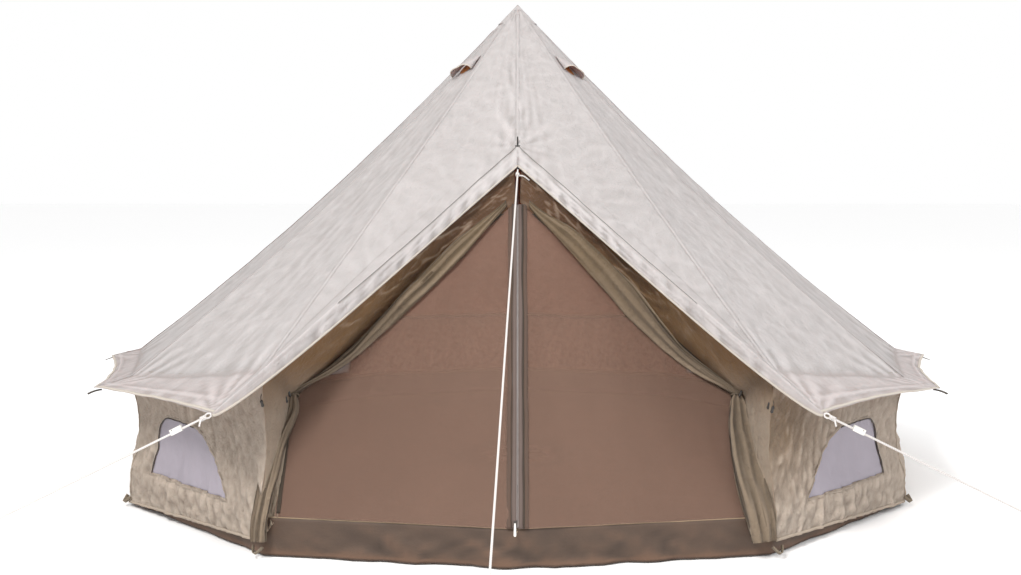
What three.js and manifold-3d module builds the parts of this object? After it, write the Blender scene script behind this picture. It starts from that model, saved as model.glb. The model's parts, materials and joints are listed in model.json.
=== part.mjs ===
// A four-metre canvas bell tent: twelve roof gores and ten wall panels hang from a centre pole,
// a shorter door pole lifts the front ridge, and two mesh door leaves close the entrance.
// Millimetres, +Z up, the door faces -Y. The origin is the centre of the groundsheet's underside.

import * as THREE from 'three';
import { mergeVertices } from 'three/addons/utils/BufferGeometryUtils.js';
import Module from 'manifold-3d';

const wasm = await Module();
wasm.setup();

// ---------------------------------------------------------------- driving dimensions

const SIDES = 12;
const FLOOR_RADIUS = 2000;          // from the centre to a corner of the floor
const CANVAS_APEX = 2386;           // inner face of the canvas, carried up to the axis
const APEX_RING = 32;               // radius at which the gores stop under the cap
const CLOTH = 3;
const GAP = 0.4;

const ROOF_SAG = 78;                // dip of each ridge below a straight line
const FRONT_RIDGE_SAG = 30;         // the ridges beside the door are held tighter
const EAVE_RADIUS = 2160;
const DOOR_EAVE_RADIUS = 2260;      // the guyed corners beside the door pull further out
const DOOR_EAVE_HEIGHT = 600;
const DOOR_WALL_TOP = 720;
const REAR_WALL_TOP = 515;
const WALL_TOP_STEP = 15;           // the wall is cut a little higher towards the door
const EAVE_DROP = 35;

const SHEET_EDGE = 150;             // height of the groundsheet's turned-up edge
const SHEET_INSET = 4;
const SILL_SETBACK = 0.95;          // the sill's centre stands inside the twelve-sided outline

const PEAK = new THREE.Vector3( 0, - 800, 1616 );        // where the door pole lifts the front ridge
const DOOR_TOP = new THREE.Vector3( 0, - 982, 1370 );    // upper point of the mesh doorway
const DOOR_FOOT = new THREE.Vector3( 0, - 1892, 152 );   // foot of the central zip
const DOOR_CORNER = new THREE.Vector3( 945, - 1723, 152 );
const LIP_DROP = 90;
const LIP_REACH = 86;
const TAPE_WIDTH = 42;

const WINDOW = { width: 610, bottom: 180, top: 425, corner: 95, centre: 0.53 };
const CENTRE_POLE_RADIUS = 19;
const DOOR_POLE_RADIUS = 11;
const ROPE_RADIUS = 4;

// ---------------------------------------------------------------- materials

function finish( color, roughness, metalness = 0 ) {

	return new THREE.MeshStandardMaterial( { color, roughness, metalness } );

}

const roofCanvas = () => finish( 0xd9d3cf, 0.92 );
const wallCanvas = () => finish( 0xaa9c8c, 0.92 );
const doorCanvas = () => finish( 0xa59d92, 0.92 );
const netting = () => finish( 0x8a6f62, 0.85 );
const windowNet = () => finish( 0xb0a9ab, 0.85 );
const sheeting = () => finish( 0x6a5242, 0.6 );
const steel = () => finish( 0xb9bcc0, 0.35, 0.9 );
const blackRubber = () => finish( 0x1c1c1d, 0.8 );
const zipTape = () => finish( 0x7f736b, 0.8 );
const ropeWhite = () => finish( 0xf2efec, 0.85 );
const pullWhite = () => finish( 0xeceae4, 0.5 );

// ---------------------------------------------------------------- scene and geometry helpers

const tent = new THREE.Group();

function add( name, geometry, material ) {

	const mesh = new THREE.Mesh( geometry, material );
	mesh.name = name;
	tent.add( mesh );
	return mesh;

}

function compass( degrees, radius, height ) {

	const angle = THREE.MathUtils.degToRad( degrees );
	return new THREE.Vector3( radius * Math.sin( angle ), - radius * Math.cos( angle ), height );

}

function between( a, b, t ) {

	return new THREE.Vector3().lerpVectors( a, b, t );

}

function bare( geometry ) {

	const shell = geometry.clone();
	shell.deleteAttribute( 'normal' );
	shell.deleteAttribute( 'uv' );
	return mergeVertices( shell, 1e-4 );

}

function toSolid( geometry ) {

	const shell = bare( geometry );
	const vertProperties = Float32Array.from( shell.attributes.position.array );
	const triVerts = Uint32Array.from( shell.index.array );
	return new wasm.Manifold( new wasm.Mesh( { numProp: 3, vertProperties, triVerts } ) );

}

function fromSolid( solid ) {

	const mesh = solid.getMesh();
	const geometry = new THREE.BufferGeometry();
	geometry.setAttribute( 'position', new THREE.BufferAttribute( mesh.vertProperties, 3 ) );
	geometry.setIndex( new THREE.BufferAttribute( mesh.triVerts, 1 ) );
	return geometry;

}

function join( ...geometries ) {

	return fromSolid( geometries.map( toSolid ).reduce( ( a, b ) => a.add( b ) ) );

}

function cut( geometry, ...tools ) {

	return fromSolid( tools.map( toSolid ).reduce( ( a, b ) => a.subtract( b ), toSolid( geometry ) ) );

}

function mirrored( geometry ) {

	const copy = geometry.clone().scale( - 1, 1, 1 );
	const index = copy.index.array;
	for ( let i = 0; i < index.length; i += 3 ) {

		[ index[ i ], index[ i + 1 ] ] = [ index[ i + 1 ], index[ i ] ];

	}

	return copy;

}

// A sheet of even thickness that follows surface( u, v ). It is thickened towards the side
// that the cross product of the u and v directions points to.
function sheet( surface, columns, rows, thickness = CLOTH ) {

	const plane = new THREE.PlaneGeometry( 1, 1, columns, rows );
	const place = plane.attributes.position;
	const count = place.count;
	const points = [];
	for ( const lift of [ thickness, 0 ] ) {

		for ( let i = 0; i < count; i ++ ) {

			const u = place.getX( i ) + 0.5;
			const v = place.getY( i ) + 0.5;
			const step = 1e-3;
			const across = surface( Math.min( u + step, 1 ), v ).sub( surface( Math.max( u - step, 0 ), v ) );
			const along = surface( u, Math.min( v + step, 1 ) ).sub( surface( u, Math.max( v - step, 0 ) ) );
			points.push( surface( u, v ).addScaledVector( across.cross( along ).normalize(), lift ) );

		}

	}

	const front = Array.from( plane.index.array );
	const index = [ ...front ];
	for ( let i = 0; i < front.length; i += 3 ) {

		index.push( front[ i ] + count, front[ i + 2 ] + count, front[ i + 1 ] + count );

	}

	const rim = [];
	for ( let i = 0; i < columns; i ++ ) rim.push( i );
	for ( let j = 0; j < rows; j ++ ) rim.push( columns + j * ( columns + 1 ) );
	for ( let i = columns; i > 0; i -- ) rim.push( rows * ( columns + 1 ) + i );
	for ( let j = rows; j > 0; j -- ) rim.push( j * ( columns + 1 ) );
	rim.forEach( ( a, i ) => {

		const b = rim[ ( i + 1 ) % rim.length ];
		index.push( a, b, b + count, a, b + count, a + count );

	} );

	const geometry = new THREE.BufferGeometry().setFromPoints( points );
	geometry.setIndex( index );
	return geometry;

}

function turned( profile, segments = 20 ) {

	const points = profile.map( ( [ radius, height ] ) => new THREE.Vector2( radius, height ) );
	return new THREE.LatheGeometry( points, segments ).rotateX( Math.PI / 2 );

}

function cylinder( radius, length, segments = 20 ) {

	return new THREE.CylinderGeometry( radius, radius, length, segments ).rotateX( Math.PI / 2 );

}

// A closed body through a row of rings that all have the same number of points.
function loft( rings ) {

	const sides = rings[ 0 ].length;
	const points = rings.flat();
	const index = [];
	for ( let i = 0; i < rings.length - 1; i ++ ) {

		for ( let j = 0; j < sides; j ++ ) {

			const a = i * sides + j;
			const b = i * sides + ( j + 1 ) % sides;
			index.push( a, b, b + sides, a, b + sides, a + sides );

		}

	}

	const last = ( rings.length - 1 ) * sides;
	for ( let j = 1; j < sides - 1; j ++ ) {

		index.push( 0, j + 1, j );
		index.push( last, last + j, last + j + 1 );

	}

	const geometry = new THREE.BufferGeometry().setFromPoints( points );
	geometry.setIndex( index );
	return geometry;

}

function alignedTo( mesh, position, xAxis, yAxis ) {

	const x = xAxis.clone().normalize();
	const z = x.clone().cross( yAxis ).normalize();
	const y = z.clone().cross( x );
	mesh.position.copy( position );
	mesh.quaternion.setFromRotationMatrix( new THREE.Matrix4().makeBasis( x, y, z ) );
	return mesh;

}

// ---------------------------------------------------------------- outline of the canvas

// Corners are numbered round from the door: corner 0 is the sill's centre, 1 and 11 flank the door.
function fromDoor( corner ) {

	return Math.min( corner, SIDES - corner );

}

function cornerAngle( corner ) {

	return corner * 360 / SIDES;

}

function wallTop( corner ) {

	const steps = fromDoor( corner );
	return steps === 1 ? DOOR_WALL_TOP : REAR_WALL_TOP + WALL_TOP_STEP * ( SIDES / 2 - steps );

}

function eaveCorner( corner ) {

	const angle = cornerAngle( corner );
	if ( fromDoor( corner ) === 1 ) return compass( angle, DOOR_EAVE_RADIUS, DOOR_EAVE_HEIGHT );
	return compass( angle, EAVE_RADIUS, wallTop( corner ) - EAVE_DROP );

}

// A ridge runs from the eave, v = 0, over the top of the wall, v = SKIRT_SHARE, to the apex, v = 1.
const SKIRT_SHARE = 1 / 6;

function ridge( corner, v ) {

	const angle = cornerAngle( corner );
	const top = wallTop( corner );
	const overWall = compass( angle, FLOOR_RADIUS, top );
	if ( v < SKIRT_SHARE ) return between( eaveCorner( corner ), overWall, v / SKIRT_SHARE );
	const reach = 1 - ( v - SKIRT_SHARE ) / ( 1 - SKIRT_SHARE );
	const radius = THREE.MathUtils.lerp( APEX_RING, FLOOR_RADIUS, reach );
	const share = radius / FLOOR_RADIUS;
	const sag = fromDoor( corner ) === 1 ? FRONT_RIDGE_SAG : ROOF_SAG;
	const height = CANVAS_APEX - ( CANVAS_APEX - top ) * share - 4 * sag * share * ( 1 - share );
	return compass( angle, radius, height );

}

// Keeps half a gap clear of both side edges of a gore.
function acrossGore( left, right, u ) {

	const inset = GAP / 2 / left.distanceTo( right );
	return between( left, right, THREE.MathUtils.lerp( inset, 1 - inset, u ) );

}

function sideGore( corner ) {

	return ( u, v ) => acrossGore( ridge( corner, v ), ridge( ( corner + 1 ) % SIDES, v ), u );

}

// The right-hand front gore: its lower part hangs past the line from the peak to the guyed
// corner as a lip, v below LIP_SHARE, and above that line it runs straight up to the apex.
const LIP_SHARE = 1 / 7;

function lipEdge( u ) {

	const out = LIP_REACH * ( 1 - u ) ** 2;
	const drop = LIP_DROP * ( 1 - u ** 4 ) ** 0.6 + 5;
	return between( PEAK, eaveCorner( 1 ), u ).add( compass( 30 * u, out, - drop ) );

}

function frontSurface( u, v ) {

	const crease = between( PEAK, eaveCorner( 1 ), u );
	if ( v < LIP_SHARE ) return between( lipEdge( u ), crease, v / LIP_SHARE );
	const w = ( v - LIP_SHARE ) / ( 1 - LIP_SHARE );
	const skirt = 1 - FLOOR_RADIUS / DOOR_EAVE_RADIUS;
	const onSkirt = Math.min( w / SKIRT_SHARE, 1 );
	const onRoof = Math.max( ( w - SKIRT_SHARE ) / ( 1 - SKIRT_SHARE ), 0 );
	const rise = skirt * onSkirt + ( 1 - skirt ) * onRoof;
	const straight = between( crease, compass( 30 * u, APEX_RING, ridge( 1, 1 ).z ), rise );
	const taut = between( eaveCorner( 1 ), ridge( 1, 1 ), rise );
	return straight.add( ridge( 1, w ).sub( taut ).multiplyScalar( u ** 2 ) );

}

function frontGore( u, v ) {

	const point = frontSurface( u, v );
	point.x += GAP * ( 1 - u );
	return point.addScaledVector( compass( 120, 1, 0 ), - 4 * GAP * u );

}

// ---------------------------------------------------------------- roof

const VENT_ANGLES = [ 45, 135, 225, 315 ];
const VENT_RADIUS = 352;

function ventFrame( angle ) {

	const corner = Math.floor( angle / 30 );
	const surface = sideGore( corner );
	let v = 0.8;
	for ( let i = 0; i < 20; i ++ ) {

		const point = surface( 0.5, v );
		v += ( Math.hypot( point.x, point.y ) - VENT_RADIUS ) / FLOOR_RADIUS;

	}

	const centre = surface( 0.5, v );
	const across = surface( 0.6, v ).sub( surface( 0.4, v ) ).normalize();
	const up = surface( 0.5, v + 0.02 ).sub( surface( 0.5, v - 0.02 ) ).normalize();
	return { centre, across, up, out: across.clone().cross( up ).normalize() };

}

function ventHole( angle ) {

	const { centre, out } = ventFrame( angle );
	const hole = cylinder( 42, 60, 16 );
	const turn = new THREE.Quaternion().setFromUnitVectors( new THREE.Vector3( 0, 0, 1 ), out );
	return hole.applyQuaternion( turn ).translate( centre.x, centre.y, centre.z );

}

const SPIKE_HOLE = cylinder( 7.5, 120, 16 ).translate( PEAK.x, PEAK.y, PEAK.z );

for ( let corner = 0; corner < SIDES; corner ++ ) {

	let gore;
	if ( corner === 0 || corner === SIDES - 1 ) {

		gore = cut( sheet( frontGore, 6, 7 ), SPIKE_HOLE );
		if ( corner === SIDES - 1 ) gore = mirrored( gore );

	} else {

		gore = sheet( sideGore( corner ), 1, 6 );
		const vent = VENT_ANGLES.find( ( angle ) => Math.floor( angle / 30 ) === corner );
		if ( vent !== undefined ) gore = cut( gore, ventHole( vent ) );

	}

	add( `roof_gore_${ String( corner + 1 ).padStart( 2, '0' ) }`, gore, roofCanvas() );

}

// A hood over each vent: flush at its upper edge, standing off the roof at its open lower edge.
VENT_ANGLES.forEach( ( angle, i ) => {

	const width = 150;
	const length = 120;
	const standoff = 42;
	const { centre, across, up, out } = ventFrame( angle );
	const hood = sheet( ( u, v ) => {

		const arch = Math.sqrt( Math.max( 0, 1 - ( 2 * u - 1 ) ** 4 ) );
		const lift = CLOTH + 4 + standoff * arch * ( 1 - v ) ** 0.8;
		return centre.clone()
			.addScaledVector( across, ( u - 0.5 ) * width * ( 1 - 0.35 * v ) )
			.addScaledVector( up, ( v - 0.5 ) * length )
			.addScaledVector( out, lift );

	}, 8, 3 );
	add( `vent_hood_${ i + 1 }`, hood, roofCanvas() );

} );

// The reinforced cap over the apex, a twelve-sided cone.
{

	const slope = 0.85;
	const rim = 105;
	const tip = 2400;
	const inner = tip - 5;
	const profile = [ [ 0, inner ], [ rim, inner - slope * rim ], [ rim + 3, tip - slope * rim ], [ 0, tip ] ];
	add( 'apex_cap', turned( profile, SIDES ), roofCanvas() );

}

// ---------------------------------------------------------------- walls and windows

// A window has one upright side, a rounded top corner and one side that leans in over a wide sill.
// The upright side faces away from the door; facing is 1 where that is further along the wall.
function windowShape( centre, facing, trim = 0 ) {

	const half = WINDOW.width / 2 - trim;
	const low = WINDOW.bottom + trim;
	const high = WINDOW.top - trim;
	const round = WINDOW.corner - trim;
	const { lerp } = THREE.MathUtils;
	const outline = [ [ 3 * trim - half, low ], [ half, low ] ];
	for ( let i = 0; i <= 6; i ++ ) {

		const angle = Math.PI / 2 * i / 6;
		outline.push( [ half - round + round * Math.cos( angle ), high - round + round * Math.sin( angle ) ] );

	}

	for ( let t = 0; t < 1; t += 1 / 8 ) {

		outline.push( [ lerp( half * 0.1, - half, t ), lerp( high, low, t ** 1.35 ) ] );

	}

	const points = outline.map( ( [ x, z ] ) => new THREE.Vector2( centre + x * facing, z ) );
	return new THREE.Shape( facing > 0 ? points : points.reverse() );

}

function wallHem( corner ) {

	return fromDoor( corner ) === 1 ? 60 : 14;

}

const WINDOW_WALLS = new Set( [ 1, 4, 7, 10 ] );
let windowCount = 0;
for ( let corner = 1; corner < SIDES - 1; corner ++ ) {

	const start = compass( cornerAngle( corner ), FLOOR_RADIUS, 0 );
	const end = compass( cornerAngle( corner + 1 ), FLOOR_RADIUS, 0 );
	const along = end.clone().sub( start );
	const length = along.length();
	const clear = 4;
	const panel = new THREE.Shape();
	panel.moveTo( GAP / 2, wallHem( corner ) );
	panel.lineTo( length - GAP / 2, wallHem( corner + 1 ) );
	panel.lineTo( length - GAP / 2, wallTop( corner + 1 ) - clear );
	panel.lineTo( GAP / 2, wallTop( corner ) - clear );
	const up = new THREE.Vector3( 0, 0, 1 );
	const number = String( corner ).padStart( 2, '0' );
	const options = { depth: CLOTH, bevelEnabled: false, curveSegments: 6 };
	if ( WINDOW_WALLS.has( corner ) ) {

		const facing = corner < SIDES / 2 ? 1 : - 1;
		const centre = length * ( 0.5 + ( WINDOW.centre - 0.5 ) * facing );
		panel.holes.push( windowShape( centre, facing ) );
		const pane = windowShape( centre, facing, 0.5 );
		windowCount += 1;
		const net = new THREE.ExtrudeGeometry( pane, { ...options, depth: 1.5 } );
		alignedTo( add( `window_mesh_${ windowCount }`, net, windowNet() ), start, along, up );

	}

	const wall = new THREE.ExtrudeGeometry( panel, options );
	alignedTo( add( `wall_panel_${ number }`, wall, wallCanvas() ), start, along, up );

}

// ---------------------------------------------------------------- groundsheet

{

	const outer = FLOOR_RADIUS - SHEET_INSET;
	const inner = outer - CLOTH;
	const profile = [
		[ 0, 0 ], [ outer, 0 ], [ outer, SHEET_EDGE ], [ inner, SHEET_EDGE ], [ inner, CLOTH ], [ 0, CLOTH ]
	];
	const tray = turned( profile, SIDES );
	const place = tray.attributes.position;
	for ( let i = 0; i < place.count; i ++ ) {

		const onSill = Math.abs( place.getX( i ) ) < 1 && place.getY( i ) < - FLOOR_RADIUS / 2;
		if ( onSill ) place.setY( i, place.getY( i ) * SILL_SETBACK );

	}

	add( 'groundsheet', tray, sheeting() );

}

// ---------------------------------------------------------------- doorway

// Each half of the doorway is a flat leaf in a frame whose x axis runs from the zip to the side,
// y runs up the zip and z points out of the tent. The leaf swings on the line from the doorway's
// top to the sill's outer corner, and a fixed side panel fills the space beyond that line.
const zipUp = DOOR_TOP.clone().sub( DOOR_FOOT ).normalize();
const doorOut = DOOR_CORNER.clone().sub( DOOR_FOOT ).cross( zipUp ).normalize();
const doorSide = zipUp.clone().cross( doorOut );
const ZIP_LENGTH = DOOR_TOP.distanceTo( DOOR_FOOT );

function onDoor( x, y, z = 0 ) {

	const point = DOOR_FOOT.clone().addScaledVector( doorSide, x );
	return point.addScaledVector( zipUp, y ).addScaledVector( doorOut, z );

}

const cornerX = DOOR_CORNER.clone().sub( DOOR_FOOT ).dot( doorSide );
const cornerY = DOOR_CORNER.clone().sub( DOOR_FOOT ).dot( zipUp );
const sillSlope = cornerY / cornerX;
const hingeSlope = ( cornerY - ZIP_LENGTH ) / cornerX;
const HINGE_GAP = 2;

function flatOnDoor( outline, thickness ) {

	const shape = new THREE.Shape( outline.map( ( [ x, y ] ) => new THREE.Vector2( x, y ) ) );
	const basis = new THREE.Matrix4().makeBasis( doorSide, zipUp, doorOut ).setPosition( DOOR_FOOT );
	const plate = new THREE.ExtrudeGeometry( shape, { depth: thickness, bevelEnabled: false } );
	return bare( plate.applyMatrix4( basis ) );

}

function leafGeometry() {

	const inner = TAPE_WIDTH + 1;
	const edge = HINGE_GAP * Math.hypot( 1, hingeSlope );
	const outer = ( ZIP_LENGTH - edge ) / ( sillSlope - hingeSlope );
	return flatOnDoor( [
		[ inner, inner * sillSlope ],
		[ outer, outer * sillSlope ],
		[ inner, ZIP_LENGTH + inner * hingeSlope - edge ]
	], 2 );

}

function tapeGeometry() {

	const start = 1.5;
	const edge = HINGE_GAP * Math.hypot( 1, hingeSlope ) + 6;
	return flatOnDoor( [
		[ start, start * sillSlope ],
		[ TAPE_WIDTH, TAPE_WIDTH * sillSlope ],
		[ TAPE_WIDTH, ZIP_LENGTH + TAPE_WIDTH * hingeSlope - edge ],
		[ start, ZIP_LENGTH + start * hingeSlope - edge ]
	], 3 );

}

// The knee is where the doorway's side turns from the roof's slope down to the sill.
const KNEE = onDoor( 945, 604 );

function sidePanel() {

	const wallEdge = new THREE.Vector3( 985, - 1714, 0 );
	const drop = cornerY - ZIP_LENGTH;
	const hinge = ( share ) => onDoor( cornerX * share + HINGE_GAP, ZIP_LENGTH + drop * share );
	const rows = [
		[ hinge( 1 ), DOOR_CORNER.clone().add( new THREE.Vector3( 14, 2, 0 ) ), wallEdge.clone().setZ( 153 ) ],
		[ hinge( 0.72 ), KNEE, wallEdge.clone().setZ( 690 ) ],
		[ hinge( 0.01 ), onDoor( 26, ZIP_LENGTH - 6 ), new THREE.Vector3( 22, - 836, 1572 ) ]
	];
	const pick = ( list, t ) => {

		const i = Math.min( Math.floor( t * 2 ), 1 );
		return between( list[ i ], list[ i + 1 ], t * 2 - i );

	};

	return sheet( ( u, v ) => pick( rows.map( ( row ) => pick( row, u ) ), v ), 2, 4 );

}

// A canvas flap is gathered along the slope, tied at the knee, and falls from there to the ground.
function flapGeometry() {

	const slope = KNEE.clone().sub( DOOR_TOP );
	const along = slope.clone().normalize();
	const aside = along.clone().cross( doorOut ).normalize();
	const down = new THREE.Vector3( 0, 0, - 1 );
	const onSlope = ( share, inward, lift ) => DOOR_TOP.clone()
		.addScaledVector( slope, share )
		.addScaledVector( aside, inward )
		.addScaledVector( doorOut, lift );
	const leaning = ( share ) => along.clone().lerp( down, share );
	const stations = [
		{ centre: onSlope( 0.1, 2, 19 ), width: 9, depth: 9, heading: along },
		{ centre: onSlope( 0.45, 14, 38 ), width: 24, depth: 24, heading: along },
		{ centre: onSlope( 0.97, 36, 44 ), width: 28, depth: 28, heading: leaning( 0.3 ) },
		{ centre: new THREE.Vector3( 898, - 1650, 330 ), width: 32, depth: 24, heading: leaning( 0.6 ) },
		{ centre: new THREE.Vector3( 972, - 1772, 190 ), width: 38, depth: 20, heading: down },
		{ centre: new THREE.Vector3( 972, - 1780, 66 ), width: 44, depth: 24, heading: down }
	];
	return loft( stations.map( ( { centre, width, depth, heading } ) => {

		const sideways = aside.clone().projectOnPlane( heading ).normalize();
		if ( heading === down ) sideways.set( 1, 0, 0 );
		const outward = heading.clone().normalize().cross( sideways );
		return Array.from( { length: 10 }, ( _, i ) => {

			const angle = 2 * Math.PI * i / 10;
			return centre.clone()
				.addScaledVector( sideways, width * Math.cos( angle ) )
				.addScaledVector( outward, depth * Math.sin( angle ) );

		} );

	} ) );

}

const SIDE_NAMES = [ [ 'right', false ], [ 'left', true ] ];
for ( const [ side, mirror ] of SIDE_NAMES ) {

	const onSide = ( geometry ) => ( mirror ? mirrored( geometry ) : geometry );
	add( `mesh_leaf_${ side }`, onSide( leafGeometry() ), netting() );
	add( `zip_tape_${ side }`, onSide( tapeGeometry() ), zipTape() );
	add( `door_side_panel_${ side }`, onSide( sidePanel() ), wallCanvas() );
	add( `canvas_flap_${ side }`, onSide( bare( flapGeometry() ) ), doorCanvas() );

}

// ---------------------------------------------------------------- zip slider

// The slider rides on the left tape, so its frame is the left half of the doorway.
{

	const mirrorX = ( vector ) => vector.clone().setX( - vector.x );
	const sliderX = 8;
	const sliderY = 22;
	const seat = mirrorX( onDoor( sliderX, sliderY, 3.4 ) );
	const body = new THREE.Shape();
	body.moveTo( - 5, - 11 );
	body.lineTo( 5, - 11 );
	body.lineTo( 7, 11 );
	body.lineTo( - 7, 11 );
	const slab = new THREE.ExtrudeGeometry( body, { depth: 4, bevelEnabled: false } );
	const bridge = new THREE.BoxGeometry( 3, 14, 5 ).translate( 0, 0, 6 );
	const slider = add( 'zip_slider', join( slab, bridge ), steel() );
	alignedTo( slider, seat, mirrorX( doorSide ).negate(), zipUp );

	const knuckle = seat.clone().addScaledVector( mirrorX( doorOut ), 11 ).addScaledVector( zipUp, - 3 );
	const tab = new THREE.Shape();
	tab.moveTo( - 3, 0 );
	tab.lineTo( 3, 0 );
	tab.lineTo( 5, - 46 );
	tab.absarc( 0, - 46, 5, 0, - Math.PI, true );
	tab.lineTo( - 3, 0 );
	const pull = new THREE.ExtrudeGeometry( tab, { depth: 2.4, bevelEnabled: false, curveSegments: 5 } );
	const crosswise = new THREE.Vector3( 1, 0, 0 );
	alignedTo( add( 'zip_pull', pull, pullWhite() ), knuckle, crosswise, zipUp ).translateZ( 0.6 );

}

// ---------------------------------------------------------------- poles

// A pole is a lower tube, an upper tube whose swaged end slides into it, a rubber foot and a
// spike plugged into the top. The spike stands up through the canvas.
function addPole( name, y, radius, joint, shoulder, tip ) {

	const wall = 2;
	const bore = radius - wall;
	const spigot = bore - 0.4;
	const slack = 0.3;
	const footTop = CLOTH + slack + 8;
	const swage = 110;
	const start = footTop + slack;
	const lower = [ [ bore, start ], [ radius, start ], [ radius, joint ], [ bore, joint ], [ bore, start ] ];
	const upper = [
		[ spigot - 1.6, joint - swage ], [ spigot, joint - swage ], [ spigot, joint + slack ],
		[ radius, joint + slack ], [ radius, shoulder - slack ], [ spigot - 1.6, shoulder - slack ],
		[ spigot - 1.6, joint - swage ]
	];
	const grip = radius + slack;
	const foot = [
		[ 0, CLOTH + slack ], [ radius + 7, CLOTH + slack ], [ radius + 4, footTop + 34 ],
		[ grip, footTop + 34 ], [ grip, footTop ], [ 0, footTop ]
	];
	const plug = spigot - 2;
	const pin = Math.max( 3.5, radius * 0.24 );
	const spike = [
		[ 0, shoulder - 50 ], [ plug, shoulder - 50 ], [ plug, shoulder ], [ radius + 1, shoulder ],
		[ radius + 1, shoulder + 5 ], [ pin, shoulder + 7 ], [ pin, tip - 6 ], [ pin * 0.5, tip ], [ 0, tip ]
	];
	const pieces = [
		[ 'lower', lower, steel ],
		[ 'upper', upper, steel ],
		[ 'foot', foot, blackRubber ],
		[ 'spike', spike, steel ]
	];
	for ( const [ part, profile, material ] of pieces ) {

		add( `${ name }_${ part }`, turned( profile ), material() ).position.set( 0, y, 0 );

	}

}

addPole( 'centre_pole', 0, CENTRE_POLE_RADIUS, 1190, 2336, 2383 );
addPole( 'door_pole', PEAK.y, DOOR_POLE_RADIUS, 790, 1594, 1664 );

// ---------------------------------------------------------------- guy ropes

// Each rope's fixed end, its peg, and how far along the rope its runner sits.
const GUYS = [
	{ name: 'front', from: [ 0, - 906, 1494 ], to: [ - 100, - 3000, 0 ], runner: 0.9 },
	{ name: 'left', from: [ - 1150, - 1962, 590 ], to: [ - 2240, - 1906, 0 ], runner: 0.1 },
	{ name: 'right', from: [ 1150, - 1962, 590 ], to: [ 2240, - 1906, 0 ], runner: 0.1 }
];
const PEG_RADIUS = 4;
const PEG_HOOK = 46;

// Only the part of each peg above the ground is made: a leaning rod with a hooked head.
function pegGeometry( lean ) {

	const back = ( distance, height ) => lean.clone().multiplyScalar( distance ).setZ( height );
	const bends = [ back( 0, 2.5 ), back( 14, 40 ), back( 22, 66 ), back( 8, 78 ), back( - 8, 68 ) ];
	const path = new THREE.CatmullRomCurve3( bends );
	const section = new THREE.Shape();
	section.absarc( 0, 0, PEG_RADIUS, 0, 2 * Math.PI, false );
	return new THREE.ExtrudeGeometry( section, { steps: 14, extrudePath: path, curveSegments: 8 } );

}

for ( const { name, from, to, runner } of GUYS ) {

	const start = new THREE.Vector3( ...from );
	const peg = new THREE.Vector3( ...to );
	const lean = peg.clone().sub( start ).setZ( 0 ).normalize();
	const hold = peg.clone().addScaledVector( lean, 14 - PEG_RADIUS - 2.5 ).setZ( PEG_HOOK );
	const section = new THREE.Shape();
	section.absarc( 0, 0, ROPE_RADIUS, 0, 2 * Math.PI, false );
	const line = new THREE.LineCurve3( start, hold );
	const rope = new THREE.ExtrudeGeometry( section, { steps: 30, extrudePath: line, curveSegments: 8 } );
	add( `guy_rope_${ name }`, rope, ropeWhite() );
	add( `guy_peg_${ name }`, pegGeometry( lean ), steel() ).position.copy( peg );

	// The runner is a short bar that the rope passes through near one end.
	const direction = hold.clone().sub( start ).normalize();
	const bar = new THREE.BoxGeometry( 46, 7, 20 ).translate( 0, 0, 5 );
	const bore = new THREE.CylinderGeometry( ROPE_RADIUS + 1, ROPE_RADIUS + 1, 80, 12 ).rotateZ( Math.PI / 2 );
	const tail = new THREE.CylinderGeometry( 2.6, 2.6, 20, 10 ).translate( 14, 0, 10.5 );
	const plate = new THREE.BoxGeometry( 46, 14, 22 ).translate( 0, 0, 4 );
	const geometry = cut( join( bar, plate ), bore, tail );
	const upright = new THREE.Vector3( 0, 0, 1 ).cross( direction );
	const mesh = add( `guy_runner_${ name }`, geometry, pullWhite() );
	alignedTo( mesh, between( start, hold, runner ), direction, upright );

}

export default tent;
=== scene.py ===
"""Visual model of a canvas bell tent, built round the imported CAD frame. Metres, the door faces -Y."""

import json
import math

import bpy
import numpy as np
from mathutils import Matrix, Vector, noise
from mathutils.geometry import delaunay_2d_cdt


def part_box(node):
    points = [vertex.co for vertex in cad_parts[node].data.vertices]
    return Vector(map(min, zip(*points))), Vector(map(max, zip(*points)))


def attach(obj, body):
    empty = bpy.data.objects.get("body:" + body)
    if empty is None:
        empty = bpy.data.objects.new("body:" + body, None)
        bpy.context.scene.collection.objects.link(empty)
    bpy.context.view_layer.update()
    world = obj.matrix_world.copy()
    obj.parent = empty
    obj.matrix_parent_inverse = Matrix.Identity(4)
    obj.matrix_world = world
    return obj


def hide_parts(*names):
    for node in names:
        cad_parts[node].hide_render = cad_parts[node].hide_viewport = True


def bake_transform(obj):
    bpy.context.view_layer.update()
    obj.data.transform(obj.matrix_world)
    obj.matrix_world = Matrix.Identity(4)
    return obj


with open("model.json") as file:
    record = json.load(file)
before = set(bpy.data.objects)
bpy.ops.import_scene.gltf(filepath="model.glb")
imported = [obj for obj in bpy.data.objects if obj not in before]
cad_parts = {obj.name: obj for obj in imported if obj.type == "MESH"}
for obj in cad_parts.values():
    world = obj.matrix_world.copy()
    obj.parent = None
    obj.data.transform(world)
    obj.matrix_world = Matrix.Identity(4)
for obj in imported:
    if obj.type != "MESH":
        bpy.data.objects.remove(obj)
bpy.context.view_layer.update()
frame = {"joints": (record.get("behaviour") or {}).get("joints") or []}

# ------------------------------------------------------------------ sizes read from the frame

SIDES = 12
UP = Vector((0, 0, 1))
JOINTS = {joint["name"]: joint for joint in frame["joints"]}

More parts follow.
